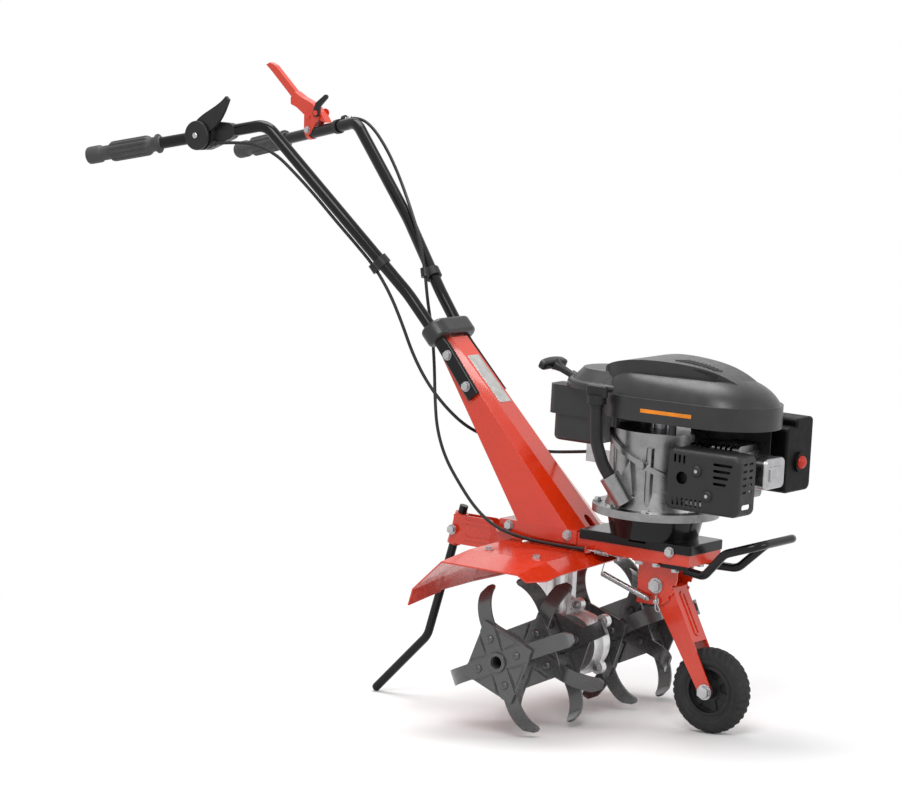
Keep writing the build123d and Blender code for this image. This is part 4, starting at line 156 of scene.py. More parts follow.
def round_edges(material, radius, rubbed_and_highlight):
    """Edges rounded to a radius; where the rounded normal leaves the flat one, a second colour:
    lighter, for rubbed paint and a painted highlight.
    """
    nodes, links = material.node_tree.nodes, material.node_tree.links
    shader, bump = nodes["Principled BSDF"], nodes["Bump"]
    rounded = nodes.new("ShaderNodeBevel")
    rounded.samples = 4
    rounded.inputs["Radius"].default_value = radius
    links.new(rounded.outputs["Normal"], bump.inputs["Normal"])
    flat = nodes.new("ShaderNodeNewGeometry")
    same = nodes.new("ShaderNodeVectorMath")
    same.operation = "DOT_PRODUCT"
    links.new(rounded.outputs["Normal"], same.inputs[0])
    links.new(flat.outputs["True Normal"], same.inputs[1])
    edge = nodes.new("ShaderNodeMapRange")
    edge.inputs["From Min"].default_value = EDGE_STARTS
    edge.inputs["From Max"].default_value = EDGE_FULL
    links.new(same.outputs["Value"], edge.inputs["Value"])
    # The colour mixed in at the edges is partly rubbed paint and partly a painted highlight.
    worn_and_highlight = nodes.new("ShaderNodeMix")
    worn_and_highlight.data_type = "RGBA"
    links.new(edge.outputs["Result"], worn_and_highlight.inputs["Factor"])
    links.new(nodes["Color Ramp"].outputs["Color"], worn_and_highlight.inputs["A"])
    worn_and_highlight.inputs["B"].default_value = (*rubbed_and_highlight, 1)
    links.new(worn_and_highlight.outputs["Result"], shader.inputs["Base Color"])


# %% [markdown]
# Paint.  The sheet metal is sprayed gloss red, with the faint orange peel of a powder coat under
# a clear top.  The handle tubes, deck and bumper are plain gloss black, the tines wear a greyer
# coat, and the muffler guard a dull one.  A painted image would need every sheet unwrapped; noise
# in space does not.


# %% Powder coats
def powder_coat(name, colour, roughness, peel, coat, rubbed_and_highlight, mirror=0.4):
    """Sprayed coat: two near tones in wide patches, and orange peel a few millimetres across."""
    material = plain_finish(name, colour, 0.0, roughness, coat, mirror)
    wide, sheen, peel_size = 0.06, 0.02, 0.004
    tone = np.array(colour)
    dark, light = tuple(tone * 0.94), tuple(np.minimum(tone * 1.05, 1))
    vary_colour(material, noise_on(material, wide), dark, light)
    vary_roughness(material, noise_on(material, sheen), roughness * 0.85, roughness * 1.2)
    push_surface(material, noise_on(material, peel_size, 2.0), peel, 0.12)
    # The lighter edge colour stands for paint rubbed thin and for a painted highlight along the
    # edge.
    round_edges(material, 0.0007, rubbed_and_highlight)
    return material


# The last colour of each coat is its edge colour: rubbed paint with a painted highlight.
red_coat = powder_coat(
    "red_coat", (0.60, 0.026, 0.002), 0.25, peel=0.00005, coat=0.40,
    rubbed_and_highlight=(0.66, 0.045, 0.010), mirror=0.55)
black_coat = powder_coat(
    "black_coat", (0.005, 0.005, 0.006), 0.16, peel=0.0002, coat=0.0,
    rubbed_and_highlight=(0.02, 0.02, 0.02), mirror=0.25)
tine_coat = powder_coat(
    "tine_coat", (0.050, 0.051, 0.053), 0.27, peel=0.0004, coat=0.2,
    rubbed_and_highlight=(0.13, 0.13, 0.14), mirror=0.7)
guard_coat = powder_coat(
    "guard_coat", (0.012, 0.012, 0.012), 0.50, peel=0.0003, coat=0.0,
    rubbed_and_highlight=(0.04, 0.04, 0.04))
print("coats", [m.name for m in (red_coat, black_coat, tine_coat, guard_coat)])

# %% [markdown]
# Plastic and rubber.  The hood, tank and air filter are moulded with a fine spark-eroded grain,
# the grips and the tyre are matt rubber, and the cables wear a smooth sheath.  One function makes
# them all, because they differ only in tone, gloss and the size of their grain.


# %% Moulded plastic and rubber
def moulded(name, colour, roughness, grain, depth, mirror=0.3):
    """Moulding: grain of a given size pressed into the surface, and a slightly uneven sheen."""
    material = plain_finish(name, colour, 0.0, roughness, mirror=mirror)
    patch, sheen = 0.03, 0.012
    tone = np.array(colour)
    vary_colour(material, noise_on(material, patch), tuple(tone * 0.85), tuple(tone * 1.2))
    vary_roughness(material, noise_on(material, sheen), roughness * 0.88, roughness * 1.12)
    push_surface(material, noise_on(material, grain, 2.0), depth, 0.4)
    # Edges take a lighter tone: a painted highlight along them, with rubbed wear.
    round_edges(material, 0.0010, tuple(np.minimum(tone * 2.2, 1)))
    return material


# Name, colour, roughness, size and depth of the grain, and strength of the mirror
hood_plastic = moulded("hood_plastic", (0.016, 0.016, 0.017), 0.36, 0.0012, 0.0002, 0.45)
filter_plastic = moulded("filter_plastic", (0.003, 0.003, 0.003), 0.50, 0.0012, 0.0002, 0.12)
smooth_plastic = moulded("smooth_plastic", (0.013, 0.013, 0.014), 0.38, 0.003, 0.0001)
grip_rubber = moulded("grip_rubber", (0.050, 0.050, 0.051), 0.56, 0.0015, 0.0003)
tyre_rubber = moulded("tyre_rubber", (0.020, 0.020, 0.021), 0.72, 0.0018, 0.0004)
sheath = moulded("sheath", (0.010, 0.010, 0.010), 0.40, 0.004, 0.0001)
bulb_rubber = moulded("bulb_rubber", (0.40, 0.020, 0.008), 0.40, 0.002, 0.0001)
# Near-black finish of the sheet under the hood's slots: painted shade.
slot_shade_plastic = moulded("slot_shade_plastic", (0.002, 0.002, 0.002), 0.85, 0.003, 0.0002)
stripe_film = moulded("stripe_film", (0.72, 0.21, 0.012), 0.40, 0.004, 0.0001)
mouldings = (hood_plastic, filter_plastic, smooth_plastic, slot_shade_plastic, stripe_film)
rubbers = (grip_rubber, tyre_rubber, bulb_rubber, sheath)
print("mouldings", [m.name for m in mouldings + rubbers])

# %% [markdown]
# Bare metal.  The engine block and the gear case are die cast, with a dull skin and a sandy
# feel.  Bolts, springs and the wheel axle are zinc plated, and shafts and pulleys are turned
# steel.  Clean metal looks like a mirror in a white studio, so patches of tone and roughness break
# it up.


# %% Castings, zinc and steel
def bare_metal(name, colour, low, high, grain, depth, dark=0.82, light=1.06):
    """Metal whose tone and roughness run in patches, with a grain of a given size pressed in."""
    material = plain_finish(name, colour, 1.0, (low + high) / 2)
    patch, sheen = 0.015, 0.008
    tone = np.array(colour)
    vary_colour(material, noise_on(material, patch, 4.0), tuple(tone * dark), tuple(tone * light))
    vary_roughness(material, noise_on(material, sheen, 4.0), low, high)
    push_surface(material, noise_on(material, grain, 3.0), depth, 0.5)
    # Edges take a lighter tone: a painted highlight along them, with rubbed wear.
    round_edges(material, 0.0005, tuple(np.minimum(tone * 1.2, 1)))
    return material


# Name, colour, lowest and highest roughness, size and depth of the grain
cast_alloy = bare_metal("cast_alloy", (0.20, 0.20, 0.205), 0.32, 0.55, 0.0016, 0.0004)
block_alloy = bare_metal(
    "block_alloy", (0.28, 0.28, 0.28), 0.26, 0.37, 0.0016, 0.0002, dark=0.86, light=1.08)
pressed_cover = bare_metal("pressed_cover", (0.46, 0.46, 0.47), 0.26, 0.40, 0.004, 0.0001)
zinc_plate = bare_metal("zinc_plate", (0.48, 0.48, 0.49), 0.22, 0.34, 0.006, 0.00004)
turned_steel = bare_metal("turned_steel", (0.42, 0.42, 0.44), 0.24, 0.38, 0.002, 0.0001)
hot_steel = bare_metal("hot_steel", (0.022, 0.021, 0.020), 0.40, 0.60, 0.002, 0.0002)
bronze = bare_metal("bronze", (0.62, 0.40, 0.16), 0.28, 0.42, 0.002, 0.0001)
brushed_plate = bare_metal("brushed_plate", (0.56, 0.56, 0.54), 0.32, 0.48, 0.0009, 0.0001)
castings = (cast_alloy, block_alloy, pressed_cover, bronze)
steels = (zinc_plate, turned_steel, hot_steel, brushed_plate)
print("metals", [m.name for m in castings + steels])

# %% [markdown]
# Each CAD node keeps its own mesh and only takes a finish, because its shape is already right.  A
# table of finish and nodes is shorter than one line per node, and the last line of the cell shows
# at once whether a node was forgotten.

# %% Finishes on the CAD nodes
WORN_BY = {
    "red_coat": "chassis main_column tine_guard rear_bracket wheel_bracket wheel_leg "
    "clutch_bracket clutch_lever",
    "black_coat": "engine_deck bumper_bar depth_bar handle_tube_right handle_tube_left",
    "tine_coat": "tine_hub_inner_right tine_hub_inner_left tine_hub_outer_right "
    "tine_hub_outer_left tine_blades_inner_right tine_blades_inner_left "
    "tine_blades_outer_right tine_blades_outer_left",
    "guard_coat": "muffler_guard",
    "hood_plastic": "blower_housing fuel_tank handle_collar",
    "filter_plastic": "air_filter_box",
    "smooth_plastic": "cable_clips throttle_housing throttle_lever lock_lever recoil_handle "
    "fuel_cap oil_filler_tube oil_cap wheel_rim idler_pulley",
    "grip_rubber": "handle_grips drive_belt",
    "tyre_rubber": "wheel_tyre",
    "sheath": "clutch_cable throttle_cable",
    "bulb_rubber": "primer_bulb",
    "cast_alloy": "gear_case_right gear_case_left carburettor",
    "block_alloy": "crankcase cylinder_head",
    "pressed_cover": "valve_cover",
    "zinc_plate": "frame_bolts wheel_axle wheel_leg_spring control_bracket",
    "turned_steel": "tine_axle worm_shaft driven_pulley engine_pulley idler_arm crankshaft",
    "hot_steel": "muffler",
    "bronze": "worm_wheel",
}
for finish_name, node_names in WORN_BY.items():
    for node_name in node_names.split():
        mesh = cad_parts[node_name].data
        mesh.materials.clear()
        mesh.materials.append(bpy.data.materials[finish_name])
bare = [n for n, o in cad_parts.items() if not o.data.materials]
print("nodes without a finish", bare)

# %% [markdown]
# The small pieces are surfaces on a grid of points.  Modelling each by hand would take many
# operators; a formula gives all its points at once.  Three helpers are enough for most of them: a
# turned form for knobs, ferrules and bolt heads, a flat slab, and a row of rings with closed ends.


# %% Surfaces on a grid
def unit(way):
    """A direction of length one."""
    way = np.asarray(way, float)
    return way / np.linalg.norm(way, axis=-1, keepdims=True)


def grid_faces(rows, columns):
    """Four-sided faces of a grid whose last column joins the first."""
    across = np.arange(columns)
    row = np.arange(rows - 1)[:, None] * columns
    beside = (across + 1) % columns
    corners = [row + across, row + beside, row + beside + columns, row + across + columns]
    return np.stack(corners, axis=-1).reshape(-1, 4)


# A direction that no axis below runs along
ASKEW = (0.31, 0.22, 0.92)


def turned(profile, start, way, columns=40, trim=None):
    """Turned form: a radius given along an axis and carried round it, less what trim takes off."""
    along, radius = np.array(profile, float).T
    way = unit(way)
    side = unit(np.cross(way, ASKEW))
    up = np.cross(way, side)
    turn = np.linspace(0, 2 * np.pi, columns, endpoint=False)
    reach = np.repeat(radius[:, None], columns, axis=1)
    if trim is not None:
        reach = reach - trim(along[:, None], turn[None, :])
    ring = np.cos(turn)[:, None] * side + np.sin(turn)[:, None] * up
    return np.asarray(start, float) + along[:, None, None] * way + reach[..., None] * ring


def slab(corners, lift):
    """Flat piece: corners of a face, the same corners lifted, and both faces closed inward."""
    corners, lift = np.asarray(corners, float), np.asarray(lift, float)
    middle = np.repeat(corners.mean(axis=0)[None], len(corners), axis=0)
    return np.stack([middle, corners, corners + lift, middle + lift])


def capped(rings):
    """Row of rings whose first and last are closed to their own middles."""
    sides = rings.shape[1]
    poles = [np.repeat(rings[end].mean(axis=0)[None, None], sides, axis=1) for end in (0, -1)]
    return np.concatenate([poles[0], rings, poles[1]])


print("faces on a grid of 3 by 4:", len(grid_faces(3, 4)))

# %% [markdown]
# Clips, springs and hooks are bent wire.  A curve object with a bevel could make them, but a circle
# carried along a path of points keeps them meshes like the rest.  The path is eased through a few
# chosen points, or wound round a line.


# %% Paths and wires
def eased(points, steps=8):
    """Path through given points: each span is a cubic whose slopes follow the chords beside it."""
    points = np.asarray(points, float)
    p = np.vstack([2 * points[0] - points[1], points, 2 * points[-1] - points[-2]])
    a, b, c, d = p[:-3], p[1:-2], p[2:-1], p[3:]
    t = np.linspace(0, 1, steps, endpoint=False)[:, None, None]
    slope, bend, twist = c - a, 2 * a - 5 * b + 4 * c - d, 3 * b - a - 3 * c + d
    span = b + 0.5 * (slope * t + bend * t**2 + twist * t**3)
    return np.vstack([span.transpose(1, 0, 2).reshape(-1, 3), points[-1]])


def wound(start, end, turns, radius, steps, first=0.0):
    """Coil: a point that circles the line between two places while it moves evenly along it.
    Given with the line's direction and the way up from it."""
    start, end = np.asarray(start, float), np.asarray(end, float)
    axis = unit(end - start)
    up = unit(np.array((0, 0, 1)) - axis * axis[2])
    side = np.cross(up, axis)
    done = np.linspace(0, turns, steps)[:, None]
    angle = first + 2 * np.pi * done
    circle = radius * (np.cos(angle) * side + np.sin(angle) * up)
    return start + done / turns * (end - start) + circle, axis, up


def wire(path, radius, across, sides=10):
    """Wire: a circle carried along a path, its first spoke kept near one fixed direction."""
    tangent = unit(np.gradient(path, axis=0))
    across = np.asarray(across, float)
    first = unit(across - (tangent @ across)[:, None] * tangent)
    second = np.cross(tangent, first)
    turn = np.linspace(0, 2 * np.pi, sides, endpoint=False)[None, :, None]
    ring = np.cos(turn) * first[:, None] + np.sin(turn) * second[:, None]
    round_path = path[:, None] + radius * ring
    cap = [np.repeat(path[end][None, None], sides, axis=1) for end in (0, -1)]
    return np.concatenate([cap[0], round_path, cap[1]])


print("points on an eased path through 3:", len(eased([(0, 0, 0), (1, 0, 0), (1, 1, 0)])))

# %% [markdown]
# One more helper turns such grids into a piece.  It merges the points that meet at poles and
# seams, turns the faces outward, keeps sharp edges sharp and makes the piece ride on its body.


# %% From grids to a piece
def add_piece(name, grids, finish, body, stands_for=None, crease=35):
    """One mesh from grids of chassis millimetres: poles and seams merged, faces outward."""
    points, faces, count = [], [], 0
    for grid in grids:
        rows, columns = grid.shape[:2]
        points.append(grid.reshape(-1, 3))
        faces.append(grid_faces(rows, columns) + count)
        count += rows * columns
    mesh = bpy.data.meshes.new(name)
    mesh.from_pydata(spot(np.concatenate(points)).tolist(), [], np.concatenate(faces).tolist())
    shell = bmesh.new()
    shell.from_mesh(mesh)
    bmesh.ops.remove_doubles(shell, verts=shell.verts, dist=1e-6)
    bmesh.ops.recalc_face_normals(shell, faces=shell.faces)
    shell.to_mesh(mesh)
    shell.free()
    mesh.shade_smooth()
    mesh.set_sharp_from_angle(angle=np.radians(crease))
    mesh.materials.append(finish)
    piece = bpy.data.objects.new(name, mesh)
    bpy.context.collection.objects.link(piece)
    if body:
        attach(piece, body)
    if stands_for:
        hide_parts(stands_for)
    print(name, len(mesh.polygons), "faces")
    return piece


# %% [markdown]
# The front wheel's tyre.  A plain torus would do for its mass, but the photograph shows fine
# chevron lugs over the tread, a smooth wall and a bead.  Lugs set one by one with an array would
# leave seams, so the radius of the section is a function of the turn and of the distance from the
# middle.  A thin web closes the rim between its spokes.

# %% Tyre and rim web
WHEEL_SPOT = np.array((280.5, 0, -40.7))
TREAD_HALF, TREAD_RADIUS, SHOULDER_FALL, SEAT_RADIUS = 16.0, 73.9, 8.6, 43.4
CHEVRON_LEAN = 4.4
# Distance from the middle and radius, from the shoulder down the wall to the bead
WALL = np.array([
    (16.9, 63.2), (17.3, 60.5), (17.5, 57.5), (17.4, 54.8), (16.6, 53.6), (17.2, 52.2),
    (16.2, 47.5), (14.0, 43.6),
])


def tyre_grid(lugs=34, lift=1.7, turns=816):
    """Tyre: a closed section carried round the axle; a clipped sine in the turn and in the
    distance from the middle lifts chevron lugs out of the tread."""
    tread = np.linspace(-TREAD_HALF, TREAD_HALF, 29)
    crown = TREAD_RADIUS - SHOULDER_FALL * (np.abs(tread) / TREAD_HALF) ** 2.2
    wall_left, wall_radius = WALL.T
    seat_left, seat_radius = [0, -wall_left[-1]], [SEAT_RADIUS, wall_radius[-1]]
    left = np.concatenate([-wall_left[::-1], tread, wall_left, seat_left])
    radius = np.concatenate([wall_radius[::-1], crown, wall_radius, seat_radius])
    turn = np.linspace(0, 2 * np.pi, turns, endpoint=False)
    slant = lugs * turn[None, :] + CHEVRON_LEAN * np.abs(left[:, None]) / TREAD_HALF
    lug = np.clip(0.5 + 1.6 * np.sin(slant), 0, 1)
    groove = np.clip(np.abs(left) / 1.6 - 0.2, 0, 1)
    on_tread = np.clip((radius - 62.0) / 2.5, 0, 1)
    reach = radius[:, None] + lift * lug * (groove * on_tread)[:, None]
    place = [reach * np.cos(turn), np.repeat(left[:, None], turns, axis=1), reach * np.sin(turn)]
    return WHEEL_SPOT + np.stack(place, axis=-1)


add_piece(
    "treaded_tyre", [tyre_grid()], tyre_rubber, "wheel", "wheel_tyre", crease=60)

RIM_WEB = [(-1.2, 9), (-1.2, 43.2), (1.2, 43.2), (1.2, 9), (-1.2, 9)]
web = turned(RIM_WEB, WHEEL_SPOT, (0, 1, 0), 64)
add_piece("rim_web", [web], smooth_plastic, "wheel")

# %% [markdown]
# The grips are thick rubber sleeves with a collar at each end and flutes for the fingers.  They
# are turned forms whose radius has cosine grooves round it between the collars, because grooves cut
# by Booleans would have sharper edges than rubber has.  The throttle's disc beside the right grip
# is held by one bright screw.

# %% Grips and throttle screw
GRIP_PROFILE = [
    (-4, 0), (-4, 11.5), (-3.2, 13.6), (-1.5, 15.4), (1, 16.2), (4, 16.4), (22, 16.4),
    (24.5, 15.8), (26, 14.2), (27, 13.6), (40, 13.6), (43, 13.8), (45, 15.0), (47, 17.4),
    (49, 18.6), (52, 19.0), (60, 19.0), (72, 19.0), (84, 19.0), (96, 19.0), (108, 19.0),
    (118, 19.0), (122, 18.6), (125, 17.4), (127, 15.4), (129, 14.0), (132, 13.6), (139, 13.6),
    (140, 14.2), (140.6, 17.2), (141.6, 18.0), (144.4, 18.0), (145.4, 17.2), (146, 14.0),
    (149, 13.1), (150, 12.4), (150, 10.8), (60, 10.8), (-2, 10.8), (-2, 0),
]
INSIDE_ROWS = 4
FLUTES_FROM, FLUTES_TO, FLUTE_FADE = 45, 127, 6


def flutes(along, turn, count=12, depth=2.4):
    """Cosine grooves that fade out at both ends of the sleeve, none on the inside."""
    fade_in = np.clip((along - FLUTES_FROM) / FLUTE_FADE, 0, 1)
    fade = fade_in * np.clip((FLUTES_TO - along) / FLUTE_FADE, 0, 1)
    groove = (0.5 + 0.5 * np.cos(count * turn)) ** 2
    inside = np.zeros_like(fade)
    inside[-INSIDE_ROWS:] = 1
    return depth * fade * groove * (1 - inside)


sleeves = []
for hand in (-1, 1):
    tube_way = (0.9437, -0.2401 * hand, 0.2263)
    tube_end = (-987, 227 * hand, 796)
    sleeves.append(turned(GRIP_PROFILE, tube_end, tube_way, columns=112, trim=flutes))
add_piece("fluted_grips", sleeves, grip_rubber, "frame", "handle_grips")

SCREW = [(0, 0), (0, 5.6), (1.2, 5.6), (2.4, 4.8), (3.0, 3.4), (3.0, 2.4), (1.6, 2.0), (1.6, 0)]
SCREW_SEAT = (-759.1, -203.3, 850.65)
throttle_screw = turned(SCREW, SCREW_SEAT, (0, -1, 0), 28)
add_piece("throttle_screw", [throttle_screw], zinc_plate, "frame")

# %% [markdown]
# Each pressed star plate carries four blades on round-headed bolts, painted over with the rest.
# The head is a low dome with a drilled dimple, and a nut sits on the other side of the blade.  One
# outline for each, turned at every place, is shorter than copies of one object.  Thin triangles in
# the plates' dark coat close the slits beside their raised cross: painted shade where the slits
# show only the shade behind them.

# %% Blade bolts and hub collars
DOME = [
    (0, 0), (0, 7.0), (1.4, 7.0), (2.6, 6.3), (3.8, 4.9), (4.4, 3.4), (4.4, 2.8), (3.0, 2.4),
    (2.8, 0),
]
NUT = [(0, 0), (0, 7.6), (5.4, 7.6), (6.2, 6.4), (6.2, 4.2), (8.2, 4.0), (8.2, 0)]
COLLAR = [
    (0, 11.2), (0, 18.4), (2.6, 18.2), (4.6, 17.2), (5.2, 16.0), (5.2, 12.6), (4.4, 11.2),
    (0, 11.2),
]
BOLT_CIRCLE = 42.0
HEAD_OFF_PLATE, NUT_OFF_PLATE, COLLAR_LEFT = 4, 6, 258.6
# Distance from the middle, turn in degrees and the way its face looks, for the plates of a side
PLATES = ((255, 24.7, 1), (157, 71.0, 1), (58, 28.0, -1))
# Corners of a slit's sheet of painted shade along and off the line midway between two bolts, how
# deep it sits and its thickness
SLIT_SHADE_REACH, SLIT_SHADE_OFF = np.array([26, 51, 51]), np.array([1.4, 20.6, 27.2])
SLIT_SHADE_DEEP, SLIT_SHADE_THICK = 1.9, 2.6


def slit_shade_sheet(hand, plate_left, face_way, angle, edge):
    """Painted shade in one slit: a thin dark triangle inside the plate, below its raised face."""
    off = edge * SLIT_SHADE_OFF
    ahead = SLIT_SHADE_REACH * np.cos(angle) - off * np.sin(angle)
    above = SLIT_SHADE_REACH * np.sin(angle) + off * np.cos(angle)
    left = np.full(3, hand * (plate_left - SLIT_SHADE_DEEP * face_way))
    return slab(np.column_stack([ahead, left, above]), (0, hand * face_way * SLIT_SHADE_THICK, 0))


bolts = []
for hand in (-1, 1):
    for plate_left, phase, face_way in PLATES:
        outward = (0, hand * face_way, 0)
        inward = (0, -hand * face_way, 0)
        for quarter in range(4):
            angle = np.radians(phase + 90 * quarter)
            ahead, above = BOLT_CIRCLE * np.cos(angle), BOLT_CIRCLE * np.sin(angle)
            head_left = hand * (plate_left + HEAD_OFF_PLATE * face_way)
            nut_left = hand * (plate_left - NUT_OFF_PLATE * face_way)
            bolts.append(turned(DOME, (ahead, head_left, above), outward, 24))
            bolts.append(turned(NUT, (ahead, nut_left, above), inward, 6))
            for edge in (-1, 1):
                # Two thin dark sheets of painted shade close the slits on each side of a bolt.
                bolts.append(slit_shade_sheet(hand, plate_left, face_way, angle + np.pi / 4, edge))
    bolts.append(turned(COLLAR, (0, hand * COLLAR_LEFT, 0), (0, hand, 0), 48))
# The piece holds the bolts, nuts and collars, and also the sheets of painted shade in the slits.
add_piece("blade_bolts", bolts, tine_coat, "tines")

# %% [markdown]
# Spring clips hold the hubs on the axle and the wheel's leg in its bracket.  Each is one bent wire:
# a straight leg through the pin or tube, a turn, and a second leg that hugs it from outside.  The
# wire is drawn flat first and then laid in the plane of its two directions.

# %% Hairpin clips
CLIP_WIRE = 1.3


def hairpin(middle, leg_way, bow_way, tube, reach):
    """Clip: a wire through the middle of a tube, back round a bow and over the tube's outside."""
    leg_way, bow_way = unit(leg_way), unit(bow_way)
    hug = np.radians(np.array([38, 65, 92, 120, 146]))
    flat = [
        (-reach, 0), (0, 0), (0.7 * reach, 0), (1.25 * reach, 0.5), (1.55 * reach, 3.4),
        (1.5 * reach, 7.0), (1.25 * reach, 9.2),
    ]
    flat += list(np.column_stack([np.cos(hug), np.sin(hug)]) * (tube + 1.6))
    flat += [(-1.15 * tube, 0.78 * tube + 2), (-1.45 * tube, 1.0 * tube + 2)]
    flat = np.array(flat)
    path = eased(np.asarray(middle, float) + flat[:, :1] * leg_way + flat[:, 1:] * bow_way)
    return wire(path, CLIP_WIRE, np.cross(leg_way, bow_way))


HUB_TUBE, HUB_REACH = 15.0, 19
OUTER_CLIP, INNER_CLIP = 185.0, 48.0
clips = []
for hand in (-1, 1):
    outer, inner = (0, OUTER_CLIP * hand, 0), (0, INNER_CLIP * hand, 0)
    clips.append(hairpin(outer, (0.5, 0, 0.87), (0.87, 0, -0.5), HUB_TUBE, HUB_REACH))
    clips.append(hairpin(inner, (-0.26, 0, 0.97), (0.97, 0, 0.26), HUB_TUBE, HUB_REACH))
add_piece("hub_clips", clips, zinc_plate, "tines")

LOCK_PIN = [(0, 0), (0, 4.0), (9.0, 4.0), (9.8, 3.2), (9.8, 0)]
PIN_FOOT, PIN_HOLE = (176, -27.5, 105), (176, -33.5, 105)
lock = [turned(LOCK_PIN, PIN_FOOT, (0, -1, 0), 28)]
lock.append(hairpin(PIN_HOLE, (0, 0, -1), (1, 0, 0), tube=4.0, reach=11))
add_piece("lock_pin", lock, zinc_plate, "frame")

# %% [markdown]
# The leg's tension spring is close wound.  It is a wire carried along a helix, with a straight
# tail up to the guard; the CAD spring has fewer and wider turns at the same place.

# %% Leg spring
SPRING_REAR, SPRING_FRONT = np.array((60, -26, 136.6)), np.array((160, -37, 109.0))
SPRING_TURNS, SPRING_RADIUS, SPRING_WIRE = 44, 4.2, 1.1
TAIL_TOP, TAIL_FOOT = 22.5, 0.6
spring_path, spring_axis, spring_up = wound(
    SPRING_REAR, SPRING_FRONT, SPRING_TURNS, SPRING_RADIUS, SPRING_TURNS * 18, first=np.pi)
tail = spring_path[0] + np.linspace(TAIL_TOP, TAIL_FOOT, 12)[:, None] * spring_up
spring_grid = wire(np.vstack([tail, spring_path]), SPRING_WIRE, spring_axis, sides=8)
add_piece("close_spring", [spring_grid], zinc_plate, "frame", "wheel_leg_spring")

# %% [markdown]
# A blank plate of brushed aluminium sits on the front of the column.  It is a thin sheet with
# round corners, laid on the column's own slope.  A cube with a bevel would do as well, but would
# have to be turned to the slope by hand.


# %% Blank plate
def blank_plate(foot, head, half, corner, thick):
    """Plate: rounded rectangle spanned between two places on a slope, swept up by its thickness."""
    foot, head = np.asarray(foot, float), np.asarray(head, float)
    rise, run = unit(head - foot), np.linalg.norm(head - foot)
    across = np.array((0, 1, 0))
    out = np.cross(across, rise)
    turn = np.linspace(0, 2 * np.pi, 64, endpoint=False)
    wide, tall = half - corner, run / 2 - corner
    beside, above = np.cos(turn)[:, None], np.sin(turn)[:, None]
    edge = np.sign(beside) * wide * across + np.sign(above) * tall * rise
    edge = edge + corner * (beside * across + above * rise)
    middle = (foot + head) / 2
    rows = [(0, 0), (0, 1), (0.8 * thick, 1), (thick, 0.985), (thick, 0)]
    return np.stack([middle + lift * out + spread * edge for lift, spread in rows])


COLUMN_FOOT, COLUMN_HEAD = 211, 519
FRONT_AT_FOOT, FRONT_AT_HEAD = 20, -290


def column_front(height):
    """Place on the middle line of the column's front face at a chassis height."""
    back = FRONT_AT_FOOT - FRONT_AT_HEAD
    ahead = FRONT_AT_FOOT - back * (height - COLUMN_FOOT) / (COLUMN_HEAD - COLUMN_FOOT)
    return (ahead, 0, height)


PLATE_FOOT, PLATE_HEAD = column_front(412), column_front(488)
plate = blank_plate(PLATE_FOOT, PLATE_HEAD, half=18.0, corner=2.5, thick=0.7)
add_piece("blank_plate", [plate], brushed_plate, "frame")

# %% [markdown]
# The rear slope of the tine guard reaches a little lower than in CAD, so its lower edge is added as
# trim.  A second sheet could be cut to shape, but strips that follow the slope's own lines need
# only their outline in the side view: one for the lip in the middle and one for each wing.

# %% Guard edge
GUARD_UP, GUARD_SHEET, GUARD_FOLD, GUARD_FALL = 177.8, 2.5, 180, 5.8
SLOPE_BACK, SLOPE_DROP = [121, 179, 186], [0, 56.75, 84]


def guard_slope(left, ahead):
    """Height of the guard's rear slope: straight lines from its top edge down to its lip."""
    top = GUARD_UP - GUARD_SHEET / 2 - GUARD_FALL * np.abs(left) / GUARD_FOLD
    return top - np.interp(-ahead, SLOPE_BACK, SLOPE_DROP)


def guard_strip(from_left, to_left, ahead, depth):
    """Strip: one bent outline in the side view, drawn straight from one distance to another and
    closed at both ends along its own middle line."""
    ends = []
    for left in (from_left, to_left):
        down = guard_slope(left, ahead) - depth
        ends.append(np.column_stack([ahead, np.full(len(ahead), left), down]))
    middles = [(end + end[::-1]) / 2 for end in ends]
    return np.stack([middles[0], *ends, middles[1]])


WING_FROM, WING_TO = 66, 174
WING_EDGE = np.array([-157.5, -179, -186, -184.6, -177.2, -156.6])
WING_DEPTH = np.array([0, 0, 0, 0.4, 1.6, 1.7])
LIP_EDGE, LIP_DEPTH = np.array([-179, -186, -184.6, -177.4]), np.array([3, 0, 0.4, 4.0])
edge_strips = [guard_strip(-WING_FROM, WING_FROM, LIP_EDGE, LIP_DEPTH)]
for hand in (-1, 1):
    edge_strips.append(guard_strip(WING_FROM * hand, WING_TO * hand, WING_EDGE, WING_DEPTH))
add_piece("guard_edge", edge_strips, red_coat, "frame")

# %% [markdown]
# Under the slots of the hood lies a near-black sheet: painted shade for the dark space below the
# hood.
# The slots need only something dark behind them, so it is a thin sheet that follows the crown's own
# curve a few millimetres lower.  The curve is a polynomial through five places on the crown.

# %% Painted shade under the slots
CROWN = np.polyfit([30, 94, 195, 270, 345], [494, 523, 530, 520, 482], 4)
SLOT_SHADE_REAR, SLOT_SHADE_FRONT, SLOT_SHADE_RIGHT, SLOT_SHADE_LEFT = 180, 276, -50, 6


def crown_sheet(below, thick, steps=25):
    """Painted shade under the slots: a sheet a little below the crown's own curve, closed by its
    rim and its underside.
    """
    along = np.linspace(SLOT_SHADE_REAR, SLOT_SHADE_FRONT, steps)
    rise = np.polyval(CROWN, along) - below
    loop = ((SLOT_SHADE_RIGHT, 0), (SLOT_SHADE_LEFT, 0), (SLOT_SHADE_LEFT, thick), (SLOT_SHADE_RIGHT, thick))
    rows = [np.column_stack([along, np.full(steps, left), rise - drop]) for left, drop in loop]
    return capped(np.stack(rows, axis=1))


slot_shade_form = crown_sheet(below=4.2, thick=1.2)
add_piece("hood_slot_shade", [slot_shade_form], slot_shade_plastic, "frame")

